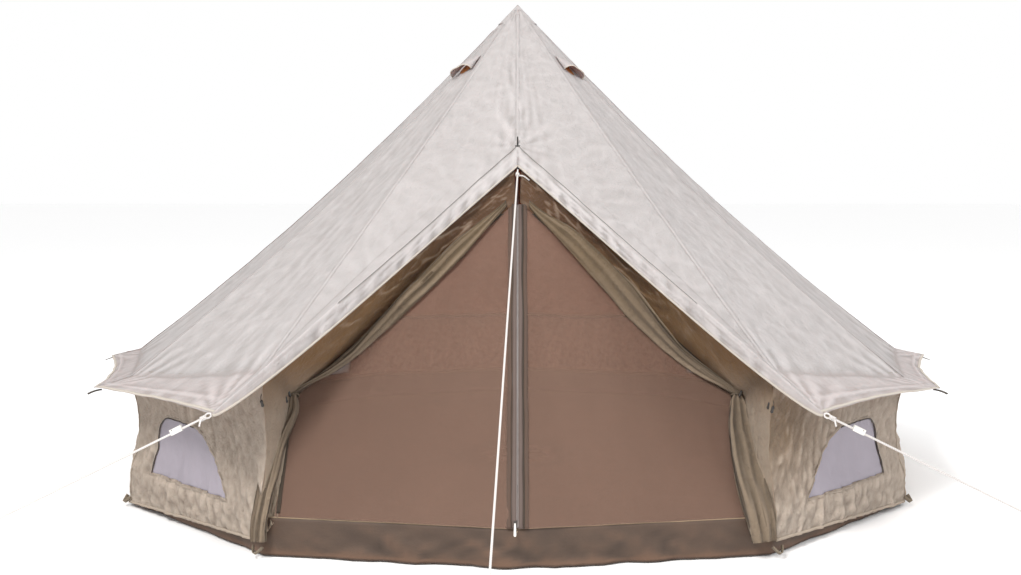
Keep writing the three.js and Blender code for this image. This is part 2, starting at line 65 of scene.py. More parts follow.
FLOOR_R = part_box("wall_panel_05")[1].y - 0.003
APEX_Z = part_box("apex_cap")[1].z - 0.014
APEX_RING = 0.032
EAVE_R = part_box("roof_gore_06")[1].y
DOOR_EAVE = Vector((1.130, -1.957, 0.600))
DOOR_EAVE_R = math.hypot(DOOR_EAVE.x, DOOR_EAVE.y)
DOOR_WALL_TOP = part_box("wall_panel_01")[1].z + 0.004
REAR_WALL_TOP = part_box("wall_panel_05")[1].z - 0.011
WALL_TOP_STEP = 0.015
EAVE_DROP = 0.035
ROOF_SAG = 0.078
FRONT_RIDGE_SAG = 0.030
SILL_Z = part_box("groundsheet")[1].z

SPIKE_LOW, SPIKE_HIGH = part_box("door_pole_spike")
PEAK = Vector((0, (SPIKE_LOW.y + SPIKE_HIGH.y) / 2, SPIKE_HIGH.z - 0.048))
DOOR_TOP = Vector(JOINTS["door_leaf_right_swing"]["pos_m"])
HINGE_DOWN = -Vector(JOINTS["door_leaf_right_swing"]["axis"]).normalized()
DOOR_CORNER = DOOR_TOP + HINGE_DOWN * ((DOOR_TOP.z - SILL_Z - 0.002) / -HINGE_DOWN.z)
ZIP_UP = Vector(JOINTS["zip_slider_travel"]["axis"]).normalized()
DOOR_FOOT = DOOR_TOP - ZIP_UP * ((DOOR_TOP.z - SILL_Z - 0.002) / ZIP_UP.z)
DOOR_OUT = (DOOR_CORNER - DOOR_FOOT).cross(ZIP_UP).normalized()
DOOR_SIDE = ZIP_UP.cross(DOOR_OUT)
ZIP_LENGTH = (DOOR_TOP - DOOR_FOOT).length

LIP_REACH = 0.086
LIP_DROP = 0.090
CANVAS = 0.0014            # thickness of the canvas and the sheeting
AHEAD = Vector((0, -1, 0))
RIGHTWARD = Vector((1, 0, 0))
SIDE_NAMES = {1: "right", -1: "left"}


def lerp(a, b, t):
    return a + (b - a) * t


def smooth(t):
    t = min(1.0, max(0.0, t))
    return t * t * (3 - 2 * t)


def compass(degrees, radius, height):
    angle = math.radians(degrees)
    return Vector((radius * math.sin(angle), -radius * math.cos(angle), height))


def mirror(point):
    return Vector((-point.x, point.y, point.z))


def sided(point, side):
    return point if side > 0 else mirror(point)


def facing(vector, direction):
    """The vector, turned round if it points away from the direction."""
    return vector if vector.dot(direction) >= 0 else -vector


def turns(count):
    return [math.tau * i / count for i in range(count)]


def steps(count):
    return [i / count for i in range(count + 1)]


def on_door(x, y, z=0.0):
    return DOOR_FOOT + DOOR_SIDE * x + ZIP_UP * y + DOOR_OUT * z


# ------------------------------------------------------------------ camera, floor and light

scene = bpy.context.scene


def add_camera():
    data = bpy.data.cameras.new("camera")
    data.sensor_width = 36.0
    data.lens = 42.4
    data.shift_x = -0.007
    data.shift_y = -0.108
    data.clip_end = 200
    camera = bpy.data.objects.new("camera", data)
    camera.location = (0, -6.4, 1.474)
    camera.rotation_euler = (math.radians(90), 0, 0)
    scene.collection.objects.link(camera)
    scene.camera = camera


def add_light(name, location, target, size, energy, color=(1, 1, 1)):
    data = bpy.data.lights.new(name, "AREA")
    data.shape = "SQUARE"
    data.size = size
    data.energy = energy
    data.color = color
    light = bpy.data.objects.new(name, data)
    light.location = location
    light.rotation_euler = (Vector(target) - Vector(location)).to_track_quat("-Z", "Y").to_euler()
    scene.collection.objects.link(light)


def add_stage():
    world = bpy.data.worlds.new("studio")
    scene.world = world
    world.use_nodes = True
    background = world.node_tree.nodes["Background"]
    background.inputs["Color"].default_value = (1.0, 1.0, 1.0, 1)
    background.inputs["Strength"].default_value = 1.0
    add_light("key", (-2.8, -8.0, 7.6), (0, 0, 0.8), 2.6, 900, (1.0, 0.985, 0.96))
    add_light("fill", (7.0, -5.0, 5.0), (0, 0, 0.8), 4.0, 240)
    floor = bpy.data.meshes.new("floor")
    size, level = 60, -0.004
    corners = [(-size, -size, level), (size, -size, level), (size, size, level), (-size, size, level)]
    floor.from_pydata(corners, [], [(0, 1, 2, 3)])
    floor_object = bpy.data.objects.new("floor", floor)
    scene.collection.objects.link(floor_object)
    material = bpy.data.materials.new("studio_floor")
    material.use_nodes = True
    shader = material.node_tree.nodes["Principled BSDF"]
    shader.inputs["Base Color"].default_value = (0.97, 0.97, 0.97, 1)
    shader.inputs["Roughness"].default_value = 0.9
    floor.materials.append(material)


scene.view_settings.view_transform = "Standard"
add_camera()
add_stage()

# ------------------------------------------------------------------ materials


def linear(color):
    """A screen colour from 0 to 255 as the linear values that the shader takes."""
    shares = [c / 255 for c in color]
    return tuple(c / 12.92 if c <= 0.04045 else ((c + 0.055) / 1.055) ** 2.4 for c in shares)


class Nodes:
    """A short way to write a material's node tree."""

    def __init__(self, name):
        self.material = bpy.data.materials.new(name)
        self.material.use_nodes = True
        self.tree = self.material.node_tree
        self.shader = self.tree.nodes["Principled BSDF"]
        self.output = self.tree.nodes["Material Output"]

    def add(self, kind, **settings):
        node = self.tree.nodes.new(kind)
        for key, value in settings.items():
            setattr(node, key, value)
        return node

    def link(self, source, target):
        self.tree.links.new(source, target)

    def value(self, node, **inputs):
        for key, value in inputs.items():
            node.inputs[key.replace("_", " ")].default_value = value
        return node

    def coordinates(self, kind="UV"):
        return self.add("ShaderNodeTexCoord").outputs[kind]

    def noise(self, vector, scale, detail=4.0, roughness=0.6):
        node = self.add("ShaderNodeTexNoise")
        self.value(node, Scale=scale, Detail=detail, Roughness=roughness)
        self.link(vector, node.inputs["Vector"])
        return node.outputs["Fac"]

    def stretched(self, vector, scale):
        node = self.add("ShaderNodeMapping")
        node.inputs["Scale"].default_value = scale
        self.link(vector, node.inputs["Vector"])
        return node.outputs["Vector"]

    def wave(self, vector, direction, scale):
        node = self.add("ShaderNodeTexWave", bands_direction=direction)
        self.value(node, Scale=scale, Distortion=0.6, Detail=1.0)
        self.link(vector, node.inputs["Vector"])
        return node.outputs["Fac"]

    def math(self, operation, a, b, clamp=False):
        node = self.add("ShaderNodeMath", operation=operation, use_clamp=clamp)
        for i, part in enumerate((a, b)):
            if isinstance(part, (int, float)):
                node.inputs[i].default_value = part
            else:
                self.link(part, node.inputs[i])
        return node.outputs[0]

    def times(self, a, b, clamp=False):
        return self.math("MULTIPLY", a, b, clamp)

    def less(self, a, b, clamp=False):
        return self.math("SUBTRACT", a, b, clamp)

    def ramp(self, factor, stops):
        node = self.add("ShaderNodeValToRGB")
        elements = node.color_ramp.elements
        while len(elements) < len(stops):
            elements.new(0.5)
        for element, (position, color) in zip(elements, stops):
            element.position = position
            element.color = (*color, 1)
        self.link(factor, node.inputs["Fac"])
        return node.outputs["Color"]

    def mix(self, factor, a, b, blend="MIX"):
        node = self.add("ShaderNodeMix", data_type="RGBA", blend_type=blend)
        for socket, part in (("Factor", factor), ("A", a), ("B", b)):
            target = [s for s in node.inputs if s.name == socket and s.enabled][0]
            if isinstance(part, (int, float, tuple)):
                target.default_value = part if isinstance(part, (int, float)) else (*part, 1)
            else:
                self.link(part, target)
        return [s for s in node.outputs if s.enabled][0]

    def tint(self, tone, color, factor, amount, clamp=False):
        """The tone moved towards a colour by factor times amount."""
        return self.mix(self.times(factor, amount, clamp), tone, color)

    def axes(self, place):
        node = self.add("ShaderNodeSeparateXYZ")
        self.link(place, node.inputs[0])
        return node.outputs

    def rise(self, value, start, slope):
        """0 up to start, then a rise of slope for each metre, up to 1."""
        return self.times(self.less(value, start), slope, True)

    def painted_fold_shade(self, tone, dark, pale):
        """Painted shade where the mesh's fold shading attribute is below 0, painted highlight where it is
        above.
        """
        fold = self.add("ShaderNodeAttribute", attribute_name="painted_fold_shade").outputs["Fac"]
        tone = self.tint(tone, dark, fold, -1.0, True)
        return self.tint(tone, pale, fold, 0.8, True)

    def set(self, **inputs):
        return self.value(self.shader, **inputs)

    def bump(self, height, distance, strength=1.0, below=None):
        node = self.add("ShaderNodeBump")
        self.value(node, Distance=distance, Strength=strength)
        self.link(height, node.inputs["Height"])
        if below is not None:
            self.link(below, node.inputs["Normal"])
        return node.outputs["Normal"]


WEAVE_PITCH = 0.0024       # from one thread of the canvas to the next
WAVE_UNIT = math.tau / 20  # a wave texture of scale 1 repeats at this length


def weave(nodes, vector, pitch=WEAVE_PITCH):
    """Threads over and under along both directions of the cloth, from 0 to 1."""
    bands = WAVE_UNIT / pitch
    warp = nodes.wave(vector, "X", bands)
    weft = nodes.wave(vector, "Y", bands)
    return nodes.times(nodes.math("ADD", warp, weft), 0.5)


def shade(color, factor):
    return tuple(min(1.0, c * factor) for c in color)


def canvas(name, color, soil, glow, crinkle=0.0016, crease_shade_and_dirt=0.0, upper=(), mottled=0.22, beside=None):
    """Cotton canvas: a plain weave, slubs, faint creases, soft stains, painted crease shade, painted light and
    shade on its folds, and some light through it.

    upper lists colours of painted glow and painted shade under the lip, with the heights between which each one
    sets in. beside is painted shade on the
    cloth right of the door: its colour, how far from the middle it reaches, and how strong it is.
    """
    nodes = Nodes(name)
    uv = nodes.coordinates()
    place = nodes.coordinates("Object")
    base, stain = linear(color), linear(soil)
    threads = weave(nodes, uv)
    slub = nodes.noise(nodes.stretched(uv, (14, 420, 1)), 1.0, 3.0)
    cloud = nodes.noise(place, 1.7, 5.0, 0.62)
    mottle = nodes.noise(place, 13.0, 6.0, 0.7)
    tone = nodes.ramp(cloud, [(0.30, shade(base, 0.93)), (0.55, base), (0.78, shade(base, 1.05))])
    tone = nodes.tint(tone, stain, mottle, mottled)
    tone = nodes.tint(tone, shade(base, 0.80), slub, 0.16)
    tone = nodes.tint(tone, shade(base, 1.12), threads, 0.14)
    # painted glow and painted shade under the lip, setting in with height
    for above, low, high in upper:
        height = nodes.axes(place)["Z"]
        tone = nodes.mix(nodes.rise(height, low, 1 / (high - low)), tone, linear(above))
    # painted shade on the right wall near the door, stronger higher up, where the light from the left does not
    # reach
    if beside:
        near, far, amount = beside
        x, y, z = nodes.axes(place)
        close = nodes.times(nodes.less(far, x), 3.0, True)
        right = nodes.rise(x, 0.7, 5.0)
        ahead = nodes.times(nodes.less(-0.6, y), 3.0, True)
        raised = nodes.times(nodes.rise(z, 0.12, 3.2), amount)
        tone = nodes.mix(nodes.times(nodes.times(close, right), nodes.times(ahead, raised)), tone, linear(near))
    # painted shade in hollows and on folds facing away from the light, painted highlight on folds facing it
    tone = nodes.painted_fold_shade(tone, shade(stain, 0.34), shade(base, 1.65))
    # dark lines along a noise pattern, painted as crease shade and dirt, then soft stains
    if crease_shade_and_dirt:
        for scale, detail, amount in (((7, 7, 4), 3.0, 0.9), ((17, 17, 13), 4.0, 0.7)):
            lines = nodes.noise(nodes.stretched(place, scale), 1.0, detail, 0.5)
            away = nodes.times(nodes.math("ABSOLUTE", nodes.less(lines, 0.5), 0.0), 16.0, True)
            tone = nodes.tint(tone, shade(stain, 0.45), nodes.less(1.0, away, True), crease_shade_and_dirt * amount)
        soft = nodes.noise(nodes.stretched(place, (5, 5, 3)), 1.0, 6.0, 0.6)
        tone = nodes.tint(tone, shade(stain, 0.8), soft, crease_shade_and_dirt)
    nodes.link(tone, nodes.shader.inputs["Base Color"])
    nodes.set(Roughness=0.93, Sheen_Weight=0.12, Sheen_Roughness=0.6, Specular_IOR_Level=0.15)
    creases = nodes.noise(nodes.stretched(place, (9, 9, 7)), 1.0, 9.0, 0.66)
    sharp = nodes.math("ABSOLUTE", nodes.less(nodes.noise(place, 23.0, 5.0, 0.6), 0.5), 0.0)
    normal = nodes.bump(creases, crinkle * 11, 1.0)
    normal = nodes.bump(sharp, crinkle * 5, 0.8, normal)
    normal = nodes.bump(threads, 0.0006, 0.7, normal)
    nodes.link(normal, nodes.shader.inputs["Normal"])
    through = nodes.add("ShaderNodeBsdfTranslucent")
    through.inputs["Color"].default_value = (*linear(glow), 1)
    blend = nodes.add("ShaderNodeMixShader")
    blend.inputs[0].default_value = 0.24
    nodes.link(nodes.shader.outputs[0], blend.inputs[1])
    nodes.link(through.outputs[0], blend.inputs[2])
    nodes.link(blend.outputs[0], nodes.output.inputs["Surface"])
    return nodes.material


def netting(name, color, cover, pitch=0.0019):
    """Insect netting: a fine square net whose threads cover part of what lies behind it, with paler streaks
    painted as light on its creases.
    """
    nodes = Nodes(name)
    uv = nodes.coordinates()
    place = nodes.coordinates("Object")
    base = linear(color)
    threads = weave(nodes, uv, pitch)
    cloud = nodes.noise(place, 2.3, 4.0)
    crease_highlights = nodes.noise(nodes.stretched(place, (26, 6, 6)), 1.0, 3.0)
    tone = nodes.ramp(cloud, [(0.3, shade(base, 0.92)), (0.7, shade(base, 1.06))])
    # paler streaks: painted highlight along the net's creases
    tone = nodes.tint(tone, shade(base, 1.30), crease_highlights, 0.40)
    nodes.link(tone, nodes.shader.inputs["Base Color"])
    nodes.set(Roughness=0.75, Specular_IOR_Level=0.25)
    nodes.link(nodes.bump(threads, 0.0004, 0.6), nodes.shader.inputs["Normal"])
    spread = nodes.times(nodes.less(threads, 0.5), 0.35)
    nodes.link(nodes.math("ADD", spread, cover, True), nodes.shader.inputs["Alpha"])
    return nodes.material


def coated(name, color, roughness):
    """Heavy coated sheeting: a faint woven base under a smooth skin, with creases, dust, and painted light and
    shade on its folds.
    """
    nodes = Nodes(name)
    uv = nodes.coordinates()
    place = nodes.coordinates("Object")
    base = linear(color)
    cloud = nodes.noise(place, 3.1, 6.0)
    dust = nodes.noise(place, 24.0, 5.0, 0.7)
    tone = nodes.ramp(cloud, [(0.3, shade(base, 0.80)), (0.55, base), (0.75, shade(base, 1.18))])
    tone = nodes.tint(tone, linear((150, 134, 118)), dust, 0.12)
    # painted shade and painted highlight on the folds, from the mesh's fold shading
    tone = nodes.painted_fold_shade(tone, shade(base, 0.30), shade(base, 3.0))
    nodes.link(tone, nodes.shader.inputs["Base Color"])
    shine = nodes.math("ADD", nodes.times(dust, 0.35), roughness - 0.15)
    nodes.link(shine, nodes.shader.inputs["Roughness"])
    creases = nodes.noise(nodes.stretched(place, (6, 6, 9)), 1.0, 8.0)
    normal = nodes.bump(creases, 0.012, 0.7)
    nodes.link(nodes.bump(weave(nodes, uv, 0.004), 0.0005, 0.5, normal), nodes.shader.inputs["Normal"])
    return nodes.material


def metal(name, color, roughness, along=(3, 3, 260)):
    """Drawn metal: fine lines along the tube, dull patches and small scratches."""
    nodes = Nodes(name)
    place = nodes.coordinates("Object")
    lines = nodes.noise(nodes.stretched(place, along), 1.0, 4.0)
    patches = nodes.noise(place, 18.0, 5.0)
    base = linear(color)
    tone = nodes.ramp(patches, [(0.3, shade(base, 0.78)), (0.7, shade(base, 1.1))])
    nodes.link(tone, nodes.shader.inputs["Base Color"])
    nodes.set(Metallic=1.0)
    shine = nodes.math("ADD", nodes.times(patches, 0.3), roughness - 0.12)
    nodes.link(shine, nodes.shader.inputs["Roughness"])
    nodes.link(nodes.bump(lines, 0.0005, 0.4), nodes.shader.inputs["Normal"])
    return nodes.material


def moulded(name, color, roughness):
    """Moulded plastic or rubber: a fine grain, scuffs, and slightly uneven colour."""
    nodes = Nodes(name)
    place = nodes.coordinates("Object")
    grain = nodes.noise(place, 900.0, 3.0)
    scuffs = nodes.noise(place, 60.0, 6.0)
    base = linear(color)
    tone = nodes.ramp(scuffs, [(0.3, shade(base, 0.82)), (0.7, shade(base, 1.08))])
    nodes.link(tone, nodes.shader.inputs["Base Color"])
    shine = nodes.math("ADD", nodes.times(scuffs, 0.3), roughness - 0.12)
    nodes.link(shine, nodes.shader.inputs["Roughness"])
    nodes.link(nodes.bump(grain, 0.0004, 0.5), nodes.shader.inputs["Normal"])
    return nodes.material


def woven_cord(name, color, pitch=0.006):
    """Braided cord or webbing: two sets of strands that cross at a slant."""
    nodes = Nodes(name)
    uv = nodes.coordinates()
    base = linear(color)
    slant = nodes.add("ShaderNodeMapping")
    slant.inputs["Rotation"].default_value = (0, 0, math.radians(40))
    nodes.link(uv, slant.inputs["Vector"])
    strands = weave(nodes, slant.outputs[0], pitch)
    dirt = nodes.noise(nodes.coordinates("Object"), 30.0, 5.0)
    tone = nodes.ramp(strands, [(0.1, shade(base, 0.72)), (0.6, base), (1.0, shade(base, 1.05))])
    tone = nodes.tint(tone, shade(base, 0.6), dirt, 0.18)
    nodes.link(tone, nodes.shader.inputs["Base Color"])
    nodes.set(Roughness=0.85)
    nodes.link(nodes.bump(strands, 0.0012, 0.8), nodes.shader.inputs["Normal"])
    return nodes.material


ROOF = canvas("roof_canvas", (189, 187, 187), (172, 164, 156), (236, 152, 72), crinkle=0.0022, crease_shade_and_dirt=0.035,
              mottled=0.12)
# the wall's beside colour is painted shade on the right wall near the door
WALL = canvas("wall_canvas", (190, 177, 163), (128, 110, 90), (216, 146, 80), crinkle=0.0044, crease_shade_and_dirt=0.14,
              mottled=0.16, beside=((124, 100, 70), 1.42, 0.75))
# the surround's upper colours are painted glow and painted shade under the lip, darkest at the top
SHADED = canvas("door_surround_canvas", (170, 155, 137), (124, 106, 84), (226, 140, 62), crinkle=0.0036,
                crease_shade_and_dirt=0.10, upper=[((134, 104, 70), 0.52, 0.72), ((94, 68, 48), 0.95, 1.25)])
# the flap's upper colour is painted shade under the lip
FLAP = canvas("door_flap_canvas", (138, 122, 104), (92, 76, 58), (150, 112, 74), crinkle=0.0034, crease_shade_and_dirt=0.08,
              upper=[((116, 98, 76), 0.62, 1.10)])
TRIM = canvas("hem_canvas", (208, 200, 190), (186, 174, 158), (220, 190, 150))
WALL_TRIM = canvas("wall_hem_canvas", (182, 168, 152), (150, 134, 114), (196, 140, 84), crinkle=0.0014)
SHEET_TRIM = canvas("groundsheet_binding", (168, 148, 122), (132, 112, 90), (160, 120, 80), crinkle=0.0008)
# a seam's cloth, coloured darker than the roof as painted shade in the lip's crease
CREASE_SEAM_SHADE = canvas("crease_seam_shade_canvas", (146, 140, 134), (122, 114, 106), (120, 100, 80), crinkle=0.0008)
FACING = canvas("zip_facing_canvas", (98, 80, 70), (76, 60, 48), (150, 104, 66), crinkle=0.0010)
DARK_TRIM = canvas("dark_piping", (70, 60, 50), (50, 44, 38), (70, 50, 30))
DOOR_NET = netting("door_netting", (119, 94, 81), 0.60)
WINDOW_NET = netting("window_netting", (146, 140, 148), 0.90)
VENT_NET = netting("vent_netting", (176, 116, 66), 0.90)
SHEETING = coated("groundsheet_sheeting", (61, 43, 31), 0.66)
ZIP_TAPE = woven_cord("zip_tape_weave", (96, 82, 76))
ZIP_TEETH = moulded("zip_teeth", (60, 52, 48), 0.5)
DOOR_TEETH = moulded("door_zip_teeth", (134, 124, 120), 0.4)
STEEL = metal("pole_steel", (190, 192, 194), 0.32)
PEG_STEEL = metal("peg_steel", (172, 174, 176), 0.38, (120, 120, 120))
SLIDER_STEEL = metal("zip_slider_metal", (60, 56, 54), 0.5, (300, 300, 300))
RUBBER = moulded("black_rubber", (34, 33, 33), 0.75)
WHITE_PLASTIC = moulded("white_plastic", (204, 202, 197), 0.42)
ROPE = woven_cord("white_rope", (206, 201, 198))
WEBBING = woven_cord("peg_webbing", (120, 108, 92))
TIE_CORD = woven_cord("tie_cord", (92, 80, 66))
TOGGLE_PLASTIC = moulded("toggle_plastic", (44, 38, 34), 0.5)

# ------------------------------------------------------------------ mesh helpers


def build(name, points, faces, material, slot, body="tent", uvs=None, thickness=0.0, replaces=(), soft=True,
          folded=0.0, passes=14):
    """A piece from points and faces. It rides on a CAD body, or on nothing where body is None.

    folded is how strongly painted light and shade show on its folds, through the fold shading attribute,
    and passes how wide the cloth is that they are measured against.
    """
    mesh = bpy.data.meshes.new(name)
    mesh.from_pydata([tuple(p) for p in points], [], faces)
    if uvs is not None:
        layer = mesh.uv_layers.new(name="UVMap")
        index = np.empty(len(mesh.loops), np.int32)
        mesh.loops.foreach_get("vertex_index", index)
        layer.data.foreach_set("uv", np.asarray(uvs, np.float32)[index].ravel())
    if folded:
        tones = mesh.attributes.new("painted_fold_shade", "FLOAT", "POINT")
        tones.data.foreach_set("value", painted_fold_shades(points, faces, folded, passes).astype(np.float32))
    mesh.validate()
    mesh.materials.append(material)
    mesh.polygons.foreach_set("use_smooth", [soft] * len(mesh.polygons))
    piece = bpy.data.objects.new(name, mesh)
    scene.collection.objects.link(piece)
    if thickness:
        solid = piece.modifiers.new("thickness", "SOLIDIFY")
        solid.thickness = thickness
        solid.offset = 0
        apply_modifiers(piece)
    if replaces:
        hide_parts(*replaces)
    if body:
        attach(piece, body)
    return piece


FOLD_LIGHT = np.array((-0.42, -0.30, 0.86))     # painted light falls from this way: folds that face it are painted paler, folds that face away darker


def painted_fold_shades(points, faces, gain, passes):
    """Painted light and shade on the folds: how far each point leans towards FOLD_LIGHT or away from it against
    the cloth round it, with painted shade in its hollows.
    """
    xyz = np.array([tuple(p) for p in points])
    loops = [(face[i], face[(i + 1) % len(face)]) for face in faces for i in range(len(face))]
    edges = np.unique(np.sort(np.array(loops), axis=1), axis=0)
    corners = np.array([(f[0], f[1], f[2]) for f in faces])
    flat = np.cross(xyz[corners[:, 1]] - xyz[corners[:, 0]], xyz[corners[:, 2]] - xyz[corners[:, 0]])
    count = len(xyz)
    owners = np.concatenate([np.array([f[i] for f in faces]) for i in range(3)])
    normals = np.stack([np.bincount(owners, np.tile(flat[:, k], 3), count) for k in range(3)], 1)
    normals /= np.maximum(np.linalg.norm(normals, axis=1, keepdims=True), 1e-12)
    outward = np.sign((normals * (xyz - (0, 0, 0.6))).sum(1).mean()) or 1.0
    normals *= outward

    def blurred(values, times):
        a, b = edges[:, 0], edges[:, 1]
        share = np.bincount(a, minlength=count) + np.bincount(b, minlength=count) + 1.0
        for _ in range(times):
            total = [values[:, k] + np.bincount(a, values[b, k], count) + np.bincount(b, values[a, k], count)
                     for k in range(3)]
            values = np.stack(total, 1) / share[:, None]
        return values

    # painted light and shade from how each point leans, and painted shade in the hollows
    lean = ((normals - blurred(normals, passes)) @ FOLD_LIGHT) * gain
    hollow = ((blurred(xyz, passes) - xyz) * normals).sum(1)
    spread = np.std(hollow) + 1e-9
    return np.clip(lean - 0.16 * np.clip(hollow / spread, -2, 2), -1, 0.8)


def apply_modifiers(piece):
    bpy.context.view_layer.update()
    final = bpy.data.meshes.new_from_object(piece.evaluated_get(bpy.context.evaluated_depsgraph_get()))
    piece.modifiers.clear()
    piece.data = final


def grid_faces(columns, rows, start=0, wrap=False):
    faces = []
    across = columns if wrap else columns + 1
    for j in range(rows):
        for i in range(columns):
            a = start + j * across + i
            b = start + j * across + (i + 1) % across
            faces.append((a, b, b + across, a + across))
    return faces


def turned_over(faces):
    return [tuple(reversed(face)) for face in faces]


def sheet_points(surface, us, vs):
    return [surface(u, v) for v in vs for u in us], [(u, v) for v in vs for u in us]


def cloth_area(points, faces):
    total = 0.0
    for face in faces:
        first = points[face[0]]
        fan = Vector()
        for a, b in zip(face[1:], face[2:]):
            fan += (points[a] - first).cross(points[b] - first)
        total += fan.length / 2
    return total


def welded(points, faces, uvs, reach=0.0006):
    """The same cloth with points that lie within reach joined, so separate grids become one."""
    cell = {}
    order = []
    kept, kept_uv = [], []
    for point, uv in zip(points, uvs):
        key = (round(point.x / reach), round(point.y / reach), round(point.z / reach))
        if key not in cell:
            cell[key] = len(kept)
            kept.append(point)
            kept_uv.append(uv)
        order.append(cell[key])
    joined = []
    for face in faces:
        ring = []
        for i in face:
            if order[i] not in ring:
                ring.append(order[i])
        if len(ring) > 2:
            joined.append(tuple(ring))
    return kept, joined, kept_uv


def tube(points, radius, sides=10, flatten=1.0, closed=False):
    """Points, faces and UVs of a tube along a line, its section kept from twisting by a carried normal."""
    line = [Vector(p) for p in points]
    count = len(line)
    verts, uvs = [], []
    tangent = (line[1] - line[0]).normalized()
    normal = tangent.cross(UP if abs(tangent.z) < 0.9 else RIGHTWARD).normalized()
    travelled = 0.0
    for i, point in enumerate(line):
        after = line[(i + 1) % count] if closed or i + 1 < count else point
        before = line[i - 1] if closed or i else point
        tangent = (after - before).normalized()
        normal = (normal - tangent * normal.dot(tangent)).normalized()
        side = tangent.cross(normal)
        if i:
            travelled += (point - line[i - 1]).length
        thick = radius(i / (count - 1)) if callable(radius) else radius
        for angle in turns(sides):
            verts.append(point + normal * thick * math.cos(angle) + side * thick * flatten * math.sin(angle))
            uvs.append((thick * angle, travelled))
    rows = count if closed else count - 1
    faces = []
    for i in range(rows):
        for k in range(sides):
            a, b = i * sides + k, i * sides + (k + 1) % sides
            c, d = (i + 1) % count * sides + (k + 1) % sides, (i + 1) % count * sides + k
            faces.append((a, d, c, b))
    if not closed:
        faces.append(tuple(range(sides)))
        faces.append(tuple(reversed(range((count - 1) * sides, count * sides))))
    return verts, faces, uvs


def curve_points(controls, span_steps):
    """A smooth line through the control points (Catmull-Rom), with span_steps points to each span."""
    pts = [Vector(c) for c in controls]
    padded = [pts[0] * 2 - pts[1], *pts, pts[-1] * 2 - pts[-2]]
    line = []
    for i in range(1, len(padded) - 2):
        a, b, c, d = padded[i - 1 : i + 3]
        for k in range(span_steps):
            t = k / span_steps
            bend, twist = 2 * a - 5 * b + 4 * c - d, 3 * b - a - 3 * c + d
            line.append(0.5 * ((2 * b) + (c - a) * t + bend * t * t + twist * t**3))
    return line + [pts[-1]]


class Bundle:
    """Several small bodies gathered into one piece."""

    def __init__(self):
        self.points, self.faces, self.uvs = [], [], []

    def add(self, points, faces, uvs=None):
        start = len(self.points)
        self.points += [Vector(p) for p in points]
        self.faces += [tuple(i + start for i in face) for face in faces]
        self.uvs += list(uvs) if uvs is not None else [(p[0], p[2]) for p in points]

    def tube(self, points, radius, **options):
        self.add(*tube(points, radius, **options))

    def strip(self, line, sides, width, lift, thick=0.0012):
        """A flat tape along a line. sides is the direction across it, or one direction for each point."""
        points, uvs = [], []
        travelled = 0.0
        for i, point in enumerate(line):
            ahead = line[min(i + 1, len(line) - 1)] - line[max(i - 1, 0)]
            across = (sides if isinstance(sides, Vector) else sides[i]).normalized()
            out = across.cross(ahead).normalized()
            if i:
                travelled += (line[i] - line[i - 1]).length
            for s, h in ((-0.5, 0), (0.5, 0), (0.5, 1), (-0.5, 1)):
                points.append(point + across * width * s + out * (lift + thick * h))
                uvs.append((s * width, travelled))
        self.add(points, self._strip_faces(len(line)), uvs)

    @staticmethod
    def _strip_faces(count):
        faces = []
        for i in range(count - 1):
            a, b = i * 4, i * 4 + 4
            for k in range(4):
                faces.append((a + k, a + (k + 1) % 4, b + (k + 1) % 4, b + k))
        faces.append((3, 2, 1, 0))
        last = (count - 1) * 4
        faces.append((last, last + 1, last + 2, last + 3))
        return faces

    def build(self, name, material, slot, **options):
        return build(name, self.points, self.faces, material, slot, uvs=self.uvs, **options)


def capsule(centre, axis, length, radius, rings=10, sides=12):
    """A toggle: a short bar with rounded ends, waisted in the middle."""
    axis = Vector(axis).normalized()
    line, widths = [], []
    for i in range(rings + 1):
        t = i / rings
        line.append(Vector(centre) + axis * length * (t - 0.5))
        end = math.sqrt(max(0.02, 1 - abs(2 * t - 1) ** 6))
        widths.append(radius * end * (1 - 0.22 * math.exp(-((2 * t - 1) / 0.25) ** 2)))
    return tube(line, lambda t: widths[round(t * rings)], sides=sides)


# ------------------------------------------------------------------ guy ropes

ROPE_D = 0.008
GUYS = {
    "front": (Vector((0, -0.906, 1.494)), Vector((-0.100, -3.000, 0))),
    "left": (Vector((-1.150, -1.962, 0.590)), Vector((-2.240, -1.906, 0))),
    "right": (Vector((1.150, -1.962, 0.590)), Vector((2.240, -1.906, 0))),
}
PEG_HOOK = 0.046           # height of the loop on its peg
PEG_SET = 0.0075           # how far beyond the peg's middle the loop lies
KNOT_D = ROPE_D * 0.84


def guy_ends(side):
    start, peg = GUYS[side]
    lean = Vector((peg.x - start.x, peg.y - start.y, 0)).normalized()
    hold = peg + lean * PEG_SET
    hold.z = PEG_HOOK
    return start, hold, lean


